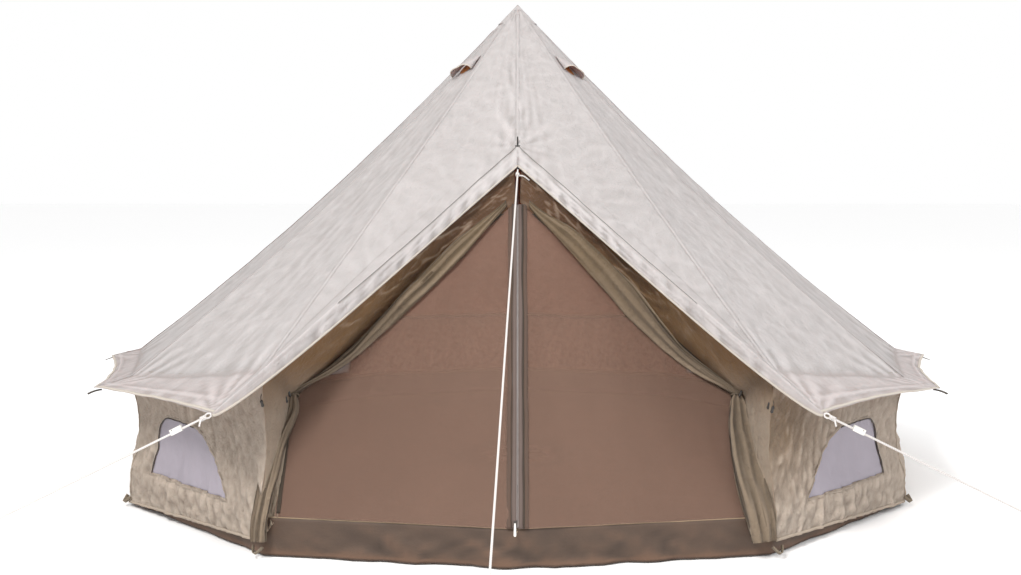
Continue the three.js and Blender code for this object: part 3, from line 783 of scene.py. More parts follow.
def add_guy(side):
    start, hold, lean = guy_ends(side)
    line = [start.lerp(hold, t) for t in steps(60)]
    points, faces, uvs = tube(line, ROPE_D / 2, sides=12)
    rope = build(f"{side}_guy_rope", points, faces, ROPE, "guy_rope", uvs=uvs, replaces=[f"guy_rope_{side}"])
    along = (hold - start).normalized()
    if side == "front":
        across, tail_side, reach = RIGHTWARD, RIGHTWARD, 1.0
    else:
        across, tail_side, reach = -AHEAD, AHEAD, 0.4
    upright = along.cross(across).normalized()
    level = along.cross(upright)
    knots = Bundle()
    coils = 19
    knot = []
    for t in steps(44):
        around = upright * math.cos(t * coils) + level * math.sin(t * coils)
        knot.append(start + along * (0.004 + 0.020 * t) + around * 0.0062)
    knots.tube(knot, KNOT_D / 2, sides=8)
    loop = [start + along * 0.002 + upright * 0.008 * math.sin(a) - along * (0.010 - 0.012 * math.cos(a))
            for a in turns(28)]
    knots.tube(loop, KNOT_D / 2, sides=8, closed=True)
    tail = [
        start + along * 0.020,
        start + along * 0.020 + tail_side * 0.028 * reach - UP * 0.004,
        start + along * 0.022 + tail_side * 0.055 * reach - UP * 0.022,
    ]
    knots.tube(curve_points(tail, 8), KNOT_D / 2, sides=8)
    wrap = [hold + along * (0.006 * math.cos(a)) + lean.cross(UP) * 0.011 * math.sin(a) - along * 0.004
            for a in turns(24)]
    knots.tube(wrap, KNOT_D / 2, sides=8, closed=True)
    tied = knots.build(f"{side}_guy_knots", ROPE, "guy_rope")
    tuple(start)
    [tuple(p) for p in line]


for guy in GUYS:
    add_guy(guy)

# ------------------------------------------------------------------ outline of the canvas

SKIRT = 1 / 6              # share of a gore that hangs past the wall
GORE_COLUMNS = 52
GORE_ROWS = 132
GORE_LENGTH, GORE_WIDTH = 2.75, 1.12
LIP_ROWS = 9
LIP_LENGTH = 1.93


def from_door(corner):
    return min(corner % SIDES, SIDES - corner % SIDES)


def corner_angle(corner):
    return corner * 360 / SIDES


def wall_top(corner):
    steps = from_door(corner)
    return DOOR_WALL_TOP if steps == 1 else REAR_WALL_TOP + WALL_TOP_STEP * (SIDES / 2 - steps)


def eave_corner(corner):
    if from_door(corner) == 1:
        return compass(corner_angle(corner), DOOR_EAVE_R, DOOR_EAVE.z)
    return compass(corner_angle(corner), EAVE_R, wall_top(corner) - EAVE_DROP)


def ridge(corner, v):
    angle, top = corner_angle(corner), wall_top(corner)
    if v < SKIRT:
        return eave_corner(corner).lerp(compass(angle, FLOOR_R, top), v / SKIRT)
    radius = lerp(FLOOR_R, APEX_RING, (v - SKIRT) / (1 - SKIRT))
    share = radius / FLOOR_R
    sag = FRONT_RIDGE_SAG if from_door(corner) == 1 else ROOF_SAG
    return compass(angle, radius, APEX_Z - (APEX_Z - top) * share - 4 * sag * share * (1 - share))


def lip_edge(u):
    """The lower edge of the lip over the door, right of the peak: u is 0 at the peak and 1 at the eave."""
    reach = compass(30 * u, LIP_REACH * (1 - u) ** 2, -LIP_DROP * (1 - u**4) ** 0.6 - 0.005)
    return PEAK.lerp(eave_corner(1), u) + reach


def front_gore(u, w):
    """The front gore right of the door, above its crease: w is 0 on the crease and 1 at the apex."""
    crease = PEAK.lerp(eave_corner(1), u)
    skirt = 1 - FLOOR_R / DOOR_EAVE_R
    rise = skirt * w / SKIRT if w < SKIRT else skirt + (1 - skirt) * (w - SKIRT) / (1 - SKIRT)
    straight = crease.lerp(compass(30 * u, APEX_RING, ridge(1, 1).z), rise)
    taut = eave_corner(1).lerp(ridge(1, 1), rise)
    return straight + (ridge(1, w) - taut) * u**2


def folds(x, y, z, seed):
    return noise.noise(Vector((x, y, z + 31.7 * seed)))


def crease(x, y, z, seed):
    """Thin raised lines where the cloth has been folded, from 0 to 1."""
    return 1 - min(1.0, abs(folds(x, y, z, seed)) * 6)


EAVE_CORNERS = [eave_corner(c) for c in range(1, SIDES)]


def tension(point, corner, count, reach, height):
    """Creases that fan out from a pulled corner towards the middle of the roof."""
    offset = point - corner
    distance = offset.length
    if distance > reach * 3 or distance < 1e-4:
        return 0.0
    inward = Vector((-corner.x, -corner.y, 0)).normalized()
    across = inward.cross(UP)
    fan = math.atan2(offset.dot(across), offset.dot(inward))
    fade = math.exp(-((distance / reach) ** 2)) * (1 - math.exp(-distance / (0.25 * reach)))
    uneven = 0.6 + 0.8 * abs(folds(fan * 2.1, corner.x, corner.y, 3))
    return height * fade * uneven * math.sin(fan * count + 2.5 * folds(fan * 3, distance * 2, corner.x, 5))


def roof_relief(point):
    """How far the cloth stands off the taut roof: slack, slubs, the front seam's pucker and tension creases."""
    angle = math.atan2(point.x, -point.y)
    radius = math.hypot(point.x, point.y)
    c, s = math.cos(angle), math.sin(angle)
    open_cloth = smooth(radius / 0.5)
    height = 0.0085 * open_cloth * folds(c * 4.5, s * 4.5, radius * 0.9, 1)
    height += 0.0030 * open_cloth * folds(c * 17, s * 17, radius * 1.3, 2)
    height += 0.0014 * folds(point.x * 6, point.y * 6, point.z * 6, 4)
    height += 0.0008 * folds(point.x * 17, point.y * 17, point.z * 13, 6)
    seam = math.exp(-((point.x / 0.09) ** 2)) * (1 if point.y < 0 else 0)
    height += 0.0042 * seam * folds(point.x * 34, point.y * 5, point.z * 11, 10)
    height += 0.0008 * crease(point.x * 7, point.y * 7, point.z * 5, 44)
    height += 0.0006 * crease(point.x * 15, point.y * 15, point.z * 9, 45)
    height += 0.0022 * math.exp(-radius / 0.3) * math.sin(angle * 22 + 3 * folds(c * 3, s * 3, 0, 7))
    for corner in EAVE_CORNERS:
        height += tension(point, corner, 23, 0.38, 0.0040)
    height += tension(point, PEAK + AHEAD * 0.001, 9, 0.16, 0.0016)
    return height


def relieved(point, billow=0.0):
    angle = math.atan2(point.x, -point.y)
    out = Vector((0.62 * math.sin(angle), -0.62 * math.cos(angle), 0.78))
    return point + out * (roof_relief(point) - billow + 0.0016)


def side_gore(corner):
    def surface(u, v):
        point = ridge(corner, v).lerp(ridge(corner + 1, v), u)
        bulge = math.sin(math.pi * u)
        if v < SKIRT:
            inward = Vector((-point.x, -point.y, 0)).normalized()
            point += inward * 0.045 * bulge * (1 - v / SKIRT) ** 1.5
        ripple = 0.0015 * math.sin(u * 31 + corner) * (1 - smooth(v / 0.10))
        band = 0.005 * math.exp(-(((v - 0.052) / 0.010) ** 2)) * bulge**0.3
        return relieved(point, 0.015 * bulge * math.sin(math.pi * min(1, v * 1.1)) + ripple - band)

    return surface


def front_surface(side):
    """v is -1 on the edge of the lip, 0 on the crease and 1 at the apex."""

    def surface(u, v):
        if v >= 0:
            point = sided(front_gore(u, v), side)
            shape = math.sin(math.pi * u) * math.sin(math.pi * min(1, v * 1.05))
            return relieved(point, 0.010 * shape)
        sewn = relieved(sided(front_gore(u, 0), side))
        edge = sided(lip_edge(u), side)
        drop = -v
        along = u * LIP_LENGTH
        crumple = 1.0 + 0.9 * (side > 0) * math.exp(-(((along - 0.45) / 0.35) ** 2))
        flutter = 0.0058 * crumple * smooth(drop * 1.4) * folds(along * 17, side * 2.0, drop * 1.2, 8)
        flutter += 0.0050 * crumple * folds(along * 9, side * 3.0, drop * 7, 20) * math.sin(math.pi * drop)
        flutter += 0.0015 * drop * math.sin(along * 58 + 2 * folds(along * 4, side, 0, 9))
        bow = 0.010 * math.sin(math.pi * drop) * (1 - u)
        return sewn.lerp(edge, drop) + AHEAD * (bow + flutter * (1 - u**6))

    return surface


def add_roof():
    points, faces, uvs = [], [], []
    for corner in range(SIDES):
        surface, columns, rows = side_gore(corner), steps(GORE_COLUMNS), steps(GORE_ROWS)
        if corner in (0, SIDES - 1):
            surface = front_surface(1 if corner == 0 else -1)
            columns = steps(GORE_COLUMNS * 2)
            rows = [-1 + j / LIP_ROWS for j in range(LIP_ROWS)] + rows
        new_faces = grid_faces(len(columns) - 1, len(rows) - 1, len(points))
        new_points, new_uvs = sheet_points(surface, columns, rows)
        points += new_points
        faces += turned_over(new_faces) if corner == SIDES - 1 else new_faces
        uvs += [((u - 0.5) * GORE_WIDTH + 2 * corner, v * GORE_LENGTH) for u, v in new_uvs]
    points, faces, uvs = welded(points, faces, uvs)
    names = [f"roof_gore_{i + 1:02d}" for i in range(SIDES)]
    roof = build("roof_canvas", points, faces, ROOF, "roof_canvas", uvs=uvs, thickness=CANVAS, replaces=names,
                 folded=0.30, passes=6)
    return roof, cloth_area(points, faces)


def roof_seams():
    """Felled seams down every ridge, the hem round the eaves, the binding of the lip, and a seam along the
    lip's crease coloured darker as painted crease shade.
    """
    seams, hems = Bundle(), Bundle()
    for corner in range(1, SIDES):
        last = corner == SIDES - 1
        surface = side_gore(corner - last)
        line = [surface(last, j / 100) for j in range(4, 97)]
        seams.strip(line, compass(corner_angle(corner) + 90, 1, 0), 0.022, 0.0006, 0.0005)
    front = front_surface(1)
    line = [front(0, j / 90) for j in range(4, 88)]
    seams.strip(line, RIGHTWARD, 0.020, 0.0006, 0.0005)
    lines = Bundle()
    for side in (1, -1):
        surface = front_surface(side)
        # a seam along the lip's crease, drawn darker as painted crease shade
        sewn = [surface(u, 0.0) + Vector((0, -0.0022, 0.0014)) for u in steps(120)[:78]]
        lines.tube(sewn, 0.0024, sides=6, flatten=0.5)
        edge = [surface(u, -0.93) for u in steps(120)]
        inward = [(surface(u, -0.6) - surface(u, -1)) * (-side) for u in steps(120)]
        hems.strip(edge, inward, 0.010, 0.0008, 0.0022)
    for corner in range(1, SIDES - 1):
        surface = side_gore(corner)
        edge = [surface(u, 0.008) for u in steps(40)]
        inward = [surface(u, 0.0) - surface(u, 0.03) for u in steps(40)]
        hems.strip(edge, inward, 0.013, 0.0008, 0.0018)
    return [
        seams.build("roof_seams", ROOF, "roof_canvas"),
        hems.build("roof_hems", TRIM, "roof_canvas"),
        lines.build("crease_seam_shade", CREASE_SEAM_SHADE, "roof_canvas"),
    ]


def add_cap():
    """The reinforced cap over the apex, stitched down over twelve seams."""
    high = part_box("apex_cap")[1]
    rim = high.x - 0.004
    foot = 0.56
    columns, rows = 96, 16

    def surface(u, v):
        angle = math.radians(360 * u)
        radius = lerp(rim, 0.0015, v)
        radius *= 1 - 0.020 * abs(math.sin(angle * SIDES / 2))
        share = radius / FLOOR_R
        height = APEX_Z - (APEX_Z - foot) * share - 4 * ROOF_SAG * share * (1 - share) + 0.0055
        height = min(height, high.z - 0.001)
        ripple = 0.0016 * folds(math.cos(angle) * 5, math.sin(angle) * 5, v * 4, 11)
        return compass(360 * u, radius + ripple, height + ripple)

    points, uvs = sheet_points(surface, steps(columns), steps(rows))
    uvs = [(u * 0.66, v * 0.15) for u, v in uvs]
    points, faces, uvs = welded(points, grid_faces(columns, rows), uvs, 0.0002)
    build("apex_cap_canvas", points, faces, ROOF, "roof_canvas", uvs=uvs, thickness=0.0018,
          replaces=["apex_cap"])
    hem = Bundle()
    line = [surface(u, 0.055) for u in steps(columns)]
    across = [compass(360 * u, -0.8, 0.62) * -1 for u in steps(columns)]
    hem.strip(line, across, 0.010, 0.0010, 0.0008)
    hem.build("apex_cap_hem", ROOF, "roof_canvas")


# ------------------------------------------------------------------ vents

VENT_ANGLES = (45, 135, 225, 315)
VENT_R = 0.352


def vent_frame(angle):
    corner = int(angle // 30)
    surface = side_gore(corner)
    v = 0.8
    for _ in range(20):
        point = surface(0.5, v)
        v += (math.hypot(point.x, point.y) - VENT_R) / FLOOR_R
    across = (surface(0.6, v) - surface(0.4, v)).normalized()
    along = (surface(0.5, v + 0.02) - surface(0.5, v - 0.02)).normalized()
    return surface(0.5, v), across, along, across.cross(along).normalized()


def add_vent(number, angle):
    """A hood held off the roof by a stiff lower edge, over a netted hole."""
    width, length, standoff = 0.150, 0.120, 0.042
    columns, rows = 26, 16
    flat = (0.200, 0.128)
    centre, across, along, out = vent_frame(angle)

    def surface(u, v):
        arch = math.sqrt(max(0.0, 1 - (2 * u - 1) ** 4))
        lift = 0.007 + standoff * arch * (1 - v) ** 0.8
        lift += 0.002 * folds(u * 6, v * 4, number, 12)
        return centre + across * (u - 0.5) * width * (1 - 0.35 * v) + along * (v - 0.5) * length + out * lift

    points, uvs = sheet_points(surface, steps(columns), steps(rows))
    uvs = [(u * width, v * length) for u, v in uvs]
    faces = grid_faces(columns, rows)
    hood = build(f"vent_hood_{number}_canvas", points, faces, ROOF, "roof_canvas", uvs=uvs, thickness=0.0016,
                 replaces=[f"vent_hood_{number}"])
    rim = Bundle()
    rim.tube([surface(u, 0.02) for u in steps(40)], 0.0028, sides=8)
    bound = rim.build(f"vent_rim_{number}", TRIM, "roof_canvas")
    area = min(cloth_area(points, faces), flat[0] * flat[1])
    rings, spokes = 8, 32
    net_radius, clear = 0.052, 0.0035
    net_points = [centre + out * clear]
    for j in range(1, rings + 1):
        reach, lift = net_radius * j / rings, clear + 0.002 * (1 - j / rings)
        for a in turns(spokes):
            net_points.append(centre + across * reach * math.cos(a) + along * reach * math.sin(a) + out * lift)
    net_faces = [(0, 1 + i, 1 + (i + 1) % spokes) for i in range(spokes)]
    for j in range(rings - 1):
        for i in range(spokes):
            a, b = 1 + j * spokes + i, 1 + j * spokes + (i + 1) % spokes
            net_faces.append((a, a + spokes, b + spokes, b))
    net_uvs = [((p - centre).dot(across), (p - centre).dot(along)) for p in net_points]
    net = build(f"vent_net_{number}", net_points, net_faces, VENT_NET, "door_mesh", uvs=net_uvs)
    cloth_area(net_points, net_faces)


# ------------------------------------------------------------------ walls and windows

PANEL = FLOOR_R * 2 * math.sin(math.radians(180 / SIDES))
WALL_COLUMNS, WALL_ROWS = 80, 42
WINDOW = {"width": 0.610, "bottom": 0.180, "top": 0.425, "corner": 0.095, "centre": 0.53}
WINDOW_PANELS = (1, 4, 7, 10)
WALL_TUCK = 0.026          # the wall's top edge lies this far inside the floor's edge
FAN_HEIGHT = 1.05          # the wall's folds spread from a point this high over each panel's middle
ROOF_STEPS = steps(20)


def panel_base(panel, share):
    """A point on the edge of the floor, share of the way along a panel."""
    start, end = (compass(corner_angle(corner), FLOOR_R, 0) for corner in (panel, panel + 1))
    return start.lerp(end, share)


def roof_over(panel):
    """Heights of the roof above the wall's top edge, at even steps along a panel."""
    surface = side_gore(panel)
    heights = []
    for share in ROOF_STEPS:
        base = panel_base(panel, share)
        v = 0.1
        for _ in range(14):
            point = surface(share, v)
            v += (math.hypot(point.x, point.y) - base.length + WALL_TUCK) / FLOOR_R
        heights.append(surface(share, v).z)
    return heights


ROOF_OVER = {panel: roof_over(panel) for panel in range(1, SIDES - 1)}


def hem_height(corner):
    """The wall's lower edge rises beside the door."""
    return 0.060 if from_door(corner) == 1 else 0.014


def wall_point(panel, x, z, lift=0.0):
    """x runs along the panel from its first corner, z is the height at rest; lift stands off the cloth."""
    share = x / PANEL
    base = panel_base(panel, share)
    out = Vector((base.x, base.y, 0)).normalized()
    top = lerp(wall_top(panel), wall_top(panel + 1), share)
    t = min(1.0, max(0.0, z / top))
    girth = (panel + share) * PANEL
    fan = math.atan2(x - PANEL / 2, FAN_HEIGHT - z)
    fall = math.hypot(x - PANEL / 2, FAN_HEIGHT - z)
    middle = math.sin(math.pi * min(1.0, max(0.0, share))) ** 0.6
    # hollow over all, then folds that fan out, then pulls along the hem and crumples
    relief = -0.038 * math.sin(math.pi * min(1.0, max(0.0, (t - 0.22) / 0.78))) ** 1.3
    relief += 0.012 * middle * folds(fan * 9 + panel * 3.1, fall * 1.7, 0, 13) * (1.2 - 0.7 * t)
    relief += 0.011 * middle * folds(fan * 25 + panel * 5.7, fall * 3.2, 0, 14) * (1.15 - t)
    relief += 0.005 * middle * crease(fan * 30 + panel * 2.3, fall * 4.5, 0, 61) * (1.2 - t)
    relief += 0.004 * crease(girth * 12, z * 9, 0, 62) + 0.0025 * crease(girth * 25, z * 12, 0, 63)
    low = 0.35 + 0.65 * math.exp(-((z / 0.20) ** 2))
    relief += 0.009 * folds(girth * 30, z * 20, 0, 15) * (1.0 - t) * low
    relief += 0.0035 * folds(girth * 70, z * 52, 0, 19) * (1.1 - t)
    pulled = middle * math.exp(-(((z - 0.12) / 0.06) ** 2))
    relief += 0.008 * pulled * math.sin(fan * 52 + 3 * folds(girth * 3, z * 2, 0, 16))
    slumped = math.exp(-(((share - 0.5) * 2.2) ** 2) - ((z - 0.06) / 0.06) ** 2)
    relief += 0.005 * slumped * math.sin(z * 95 + 4 * folds(girth * 3, z * 3, 0, 17))
    slope = abs((share - 0.5) * 2)
    leaning = smooth(slope * 1.3 - 0.4) * (1.2 - t)
    relief += 0.004 * leaning * math.sin((z * 34 + slope * 9) + 3 * folds(girth * 4, z * 4, 0, 18))
    # outside the groundsheet's edge below, no deeper than 60 mm above
    least = lerp(0.001, -0.060, smooth((z - 0.145) / 0.10))
    if relief < least:
        relief = least + min(0.6 * (least - relief), 0.016)
    relief = lerp(relief, -WALL_TUCK, smooth((t - 0.86) / 0.10))
    over = float(np.interp(share, ROOF_STEPS, ROOF_OVER[panel]))
    z += smooth((t - 0.84) / 0.155) * max(0.0, over - 0.0015 - top + 0.004)
    return Vector((base.x, base.y, z)) + out * (relief + 0.0025 + lift)


def arch_outline(width, bottom, top, corner, centre, slant, pitch=0.014):
    """A window with one upright side, an arched top and one side that leans in; slant is +1 or -1 for which."""
    half = width / 2
    tall = top - bottom
    knots = [(-half, bottom), (half, bottom)]
    for k in range(8):
        a = math.pi / 2 * k / 7
        knots.append((half - corner + corner * math.cos(a), top - corner + corner * math.sin(a)))
    for k in range(1, 12):
        t = k / 12
        swell = math.sin(math.pi * t)
        x = lerp(half * 0.10, -half, t)
        knots.append((x - half * 0.03 * swell, lerp(top, bottom, t**1.35) + 0.02 * tall * swell))
    line = []
    for start, end in zip(knots, knots[1:] + knots[:1]):
        count = max(1, round(math.dist(start, end) / pitch))
        line.extend((lerp(start[0], end[0], t), lerp(start[1], end[1], t)) for t in steps(count)[:-1])
    line = [(centre + x * slant, z) for x, z in line]
    return line if slant > 0 else line[::-1]


def inside(point, outline):
    x, y = point
    hit = False
    for (ax, ay), (bx, by) in zip(outline, outline[1:] + outline[:1]):
        if (ay > y) != (by > y) and x < ax + (bx - ax) * (y - ay) / (by - ay):
            hit = not hit
    return hit


def window_slant(panel):
    return 1 if panel < SIDES / 2 else -1


def window_outline(panel, grow=0.0):
    slant = window_slant(panel)
    near = WINDOW["centre"] if slant > 0 else 1 - WINDOW["centre"]
    return arch_outline(
        WINDOW["width"] + 2 * grow,
        WINDOW["bottom"] - grow,
        WINDOW["top"] + grow,
        WINDOW["corner"] + grow,
        PANEL * near,
        slant,
    )


def cut_flat(boundary, hole, inner):
    """Triangles of a flat shape: its boundary, a hole's outline or none, and the points inside."""
    loops = [boundary] + ([hole] if hole else [])
    points, edges = [], []
    for loop in loops:
        start = len(points)
        points += loop
        edges += [(start + i, start + (i + 1) % len(loop)) for i in range(len(loop))]
    points += inner
    verts, _, faces, _, _, _ = delaunay_2d_cdt([Vector(p) for p in points], edges, [], 0, 1e-6)
    kept = []
    for face in faces:
        middle = (sum(verts[i].x for i in face) / len(face), sum(verts[i].y for i in face) / len(face))
        if inside(middle, boundary) and not (hole and inside(middle, hole)):
            kept.append(tuple(face))
    return verts, kept


def distance_to(point, outline):
    return min(math.dist(point, other) for other in outline)


def wall_height(panel, share, row):
    """Height at rest: row is 0 on the wall's lower edge and 1 at its top."""
    low = lerp(hem_height(panel), hem_height(panel + 1), share)
    high = lerp(wall_top(panel), wall_top(panel + 1), share) - 0.004
    return lerp(low, high, row)


def add_walls():
    points, faces, uvs = [], [], []
    across, up = steps(WALL_COLUMNS), steps(WALL_ROWS)
    for panel in range(1, SIDES - 1):
        first = len(points)
        if panel in WINDOW_PANELS:
            outline = window_outline(panel)
            edge = [(s, 0) for s in across[:-1]] + [(1, t) for t in up[:-1]]
            edge += [(1 - s, 1) for s in across[:-1]] + [(0, 1 - t) for t in up[:-1]]
            boundary = [(s * PANEL, wall_height(panel, s, t)) for s, t in edge]
            spots = [(s * PANEL, wall_height(panel, s, t)) for t in up[1:-1] for s in across[1:-1]]
            inner = [spot for spot in spots if not inside(spot, outline) and distance_to(spot, outline) > 0.006]
            flat, tris = cut_flat(boundary, outline, inner)
            faces += [tuple(i + first for i in face) for face in tris]
        else:
            flat = [(s * PANEL, wall_height(panel, s, t)) for t in up for s in across]
            faces += grid_faces(WALL_COLUMNS, WALL_ROWS, first)
        points += [wall_point(panel, p[0], p[1]) for p in flat]
        uvs += [(p[0] + panel * PANEL, p[1]) for p in flat]
    points, faces, uvs = welded(points, faces, uvs, 0.0004)
    names = [f"wall_panel_{i:02d}" for i in range(1, SIDES - 1)]
    walls = build("wall_canvas", points, faces, WALL, "wall_canvas", uvs=uvs, thickness=CANVAS, replaces=names,
                  folded=1.7, passes=6)
    return walls, cloth_area(points, faces)


def add_window(number, panel):
    """The net behind a cut-out in the wall, its sewn border, and its cover's zip along the upright side."""
    outline = window_outline(panel, 0.006)
    pitch = 0.022
    xs = [p[0] for p in outline]
    left, right = min(xs), max(xs)
    bottom, top = WINDOW["bottom"], WINDOW["top"]
    columns, rows = round((right - left) / pitch), 14
    spots = [(lerp(left, right, s), lerp(bottom, top, t))
             for s in steps(columns)[1:-1] for t in steps(rows)[1:-1]]
    inner = [spot for spot in spots if inside(spot, outline) and distance_to(spot, outline) > 0.008]
    flat, tris = cut_flat(outline, None, inner)
    points = [wall_point(panel, p.x, p.y, -0.0035) for p in flat]
    net = build(f"window_net_{number}", points, tris, WINDOW_NET, "window_mesh",
                uvs=[(p.x, p.y) for p in flat], replaces=[f"window_mesh_{number}"])
    border = Bundle()
    path = window_outline(panel, 0.010)
    line = [wall_point(panel, x, z) for x, z in path + path[:1]]
    centre = wall_point(panel, (left + right) / 2, (bottom + top) / 2)
    border.strip(line, [point - centre for point in line], 0.014, 0.0010, 0.0010)
    edge = border.build(f"window_border_{number}", WALL, "wall_canvas")
    zip_line = Bundle()
    slant = window_slant(panel)
    run = window_outline(panel, 0.001)[::slant]
    upright = max(x * slant for x, _ in run)
    start = next(i for i, (x, _) in enumerate(run) if x * slant > upright - 1e-4)
    part = run[start : start + round(len(run) * 0.36)]
    zip_line.tube([wall_point(panel, x, z, 0.0030) for x, z in part], 0.0024, sides=8)
    closer = zip_line.build(f"window_zip_{number}", ZIP_TEETH, "zip_tape")
    cloth_area(points, tris)


def wall_trims():
    """The wall's hem, corner seams, the peg loops at the foot of every corner, and the tape inside its top."""
    hems, loops, tape = Bundle(), Bundle(), Bundle()
    for panel in range(1, SIDES - 1):
        line = [wall_point(panel, s * PANEL, wall_height(panel, s, 0) + 0.007) for s in steps(60)]
        hems.strip(line, -UP, 0.012, 0.0010, 0.0022)
        tops = [(s, lerp(wall_top(panel), wall_top(panel + 1), s)) for s in steps(40)]
        line = [wall_point(panel, s * PANEL, top - 0.018, -0.0045) for s, top in tops]
        tape.strip(line, UP, 0.016, 0.0, 0.0016)
    for corner in range(1, SIDES):
        panel = min(corner, SIDES - 2)
        x = 0 if corner == panel else PANEL
        low, high = hem_height(corner) + 0.02, wall_top(corner) - 0.03
        out = compass(corner_angle(corner), 1, 0)
        side = compass(corner_angle(corner) + 90, 1, 0)
        if from_door(corner) > 1:
            line = [wall_point(panel, x, lerp(low, high, t)) for t in steps(40)]
            hems.strip(line, side, 0.016, 0.0008, 0.0008)
        foot = compass(corner_angle(corner), FLOOR_R, 0.035)
        ring = []
        for t in steps(16):
            bow = math.sin(math.pi * t)
            outward, upward = 0.012 + 0.022 * bow, -0.024 * bow + 0.01
            ring.append(foot + out * outward + UP * upward + side * (t - 0.5) * 0.05)
        loops.strip(ring, UP * 0.6 + out * 0.8, 0.016, 0.0, 0.0022)
    return [
        hems.build("wall_hems", WALL_TRIM, "wall_canvas"),
        loops.build("peg_loops", WEBBING, "wall_canvas"),
        tape.build("wall_top_tape", DARK_TRIM, "wall_canvas"),
    ]


# ------------------------------------------------------------------ groundsheet

TRAY_R = 1.996
TRAY_FRONT_R = TRAY_R * 0.95
TRAY_H = SILL_Z
TRAY_COLUMNS = SIDES * 28


def tray_edge(girth, height):
    """A point on the tray's wall: girth counts corners from the door, height is from the floor."""
    corner = int(girth) % SIDES
    share = girth - int(girth)

    def place(c):
        return compass(corner_angle(c), TRAY_FRONT_R if c % SIDES == 0 else TRAY_R, 0)

    base = place(corner).lerp(place(corner + 1), share)
    inward = Vector((-base.x, -base.y, 0)).normalized()
    t = height / TRAY_H
    slack = 0.006 * folds(girth * 6, t * 1.1, 0, 21) + 0.0045 * folds(girth * 17 + t * 4, t * 2, 0, 22)
    slack += 0.003 * math.sin((girth * 21 + t * 5) + 3 * folds(girth * 4, t, 0, 23))
    by_door = smooth(max(0.0, 1 - min(girth, SIDES - girth)) * 2)
    slack *= 1 + 1.3 * by_door
    sagging = by_door * math.sin(math.pi * t)
    slack += 0.007 * sagging * math.sin((girth * 9 + t * 3.2) * 2 + 2 * folds(girth * 3, t, 0, 27))
    slack += 0.004 * sagging * math.sin(girth * 47 - t * 7 + 4 * folds(girth * 5, t * 2, 0, 28))
    base.z = height + 0.002
    return base + inward * (0.014 + slack * (1.1 - t) + 0.004 * (1 - t))


def add_groundsheet():
    """The floor in rings from its middle to its edge, and the wall that turns up from it."""
    points, uvs = [], []
    floor_rows, wall_rows = 26, 12
    girths = [i * SIDES / TRAY_COLUMNS for i in range(TRAY_COLUMNS)]
    rim = [tray_edge(girth, 0.0) for girth in girths]
    for j in range(1, floor_rows + 1):
        share = (j / floor_rows) ** 0.8
        for edge in rim:
            lift = 0.0030 * folds(edge.x * share * 5, edge.y * share * 5, 0, 24) * (1 - share**6)
            lift += 0.0022 * folds(edge.x * share * 16, edge.y * share * 16, 0, 25) * (1 - share**6)
            point = Vector((edge.x * share, edge.y * share, 0.003 + max(0.0, lift)))
            points.append(point)
            uvs.append((point.x, point.y))
    for j in range(1, wall_rows + 1):
        spread = 1 + 0.075 * j / wall_rows
        for girth in girths:
            point = tray_edge(girth, TRAY_H * j / wall_rows - 0.002)
            points.append(point)
            uvs.append((point.x * spread, point.y * spread))
    faces = grid_faces(TRAY_COLUMNS, floor_rows + wall_rows - 1, 0, True)
    middle = len(points)
    points.append(Vector((0, 0, 0.004)))
    uvs.append((0, 0))
    faces += [(middle, i, (i + 1) % TRAY_COLUMNS) for i in range(TRAY_COLUMNS)]
    tray = build("groundsheet_tray", points, faces, SHEETING, "groundsheet_sheeting", uvs=uvs, thickness=CANVAS,
                 replaces=["groundsheet"], folded=1.2, passes=5)
    area = cloth_area(points, faces)
    hem = Bundle()
    line = [tray_edge(i * SIDES / 360, TRAY_H - 0.006) for i in range(361)]
    hem.strip(line, UP, 0.014, 0.0008, 0.0024)
    edge = hem.build("groundsheet_hem", SHEET_TRIM, "groundsheet_sheeting")


# ------------------------------------------------------------------ doorway

KNEE_X, KNEE_Y = 0.945, 0.604
ZIP_EDGE = 0.019
SURROUND_KNEE = 0.36       # share of the canvas beside the door that lies below the knee
SURROUND_Z = 0.700         # where its outer edge leaves the wall
SURROUND_TOP = Vector((0.018, -0.828, 1.590))


def door_reach(y):
    """Half the door's width at a height along the zip."""
    return KNEE_X if y < KNEE_Y else KNEE_X * (ZIP_LENGTH - y) / (ZIP_LENGTH - KNEE_Y)


CORNER_X = (DOOR_CORNER - DOOR_FOOT).dot(DOOR_SIDE)
CORNER_Y = (DOOR_CORNER - DOOR_FOOT).dot(ZIP_UP)


def sill_line(x):
    """The sill as seen on the door's plane: it rises or falls from the zip to the door's corner."""
    return CORNER_Y * x / CORNER_X


def fold_line(y):
    """How far from the zip the leaf's hinge runs."""
    return CORNER_X * (ZIP_LENGTH - y) / (ZIP_LENGTH - CORNER_Y)


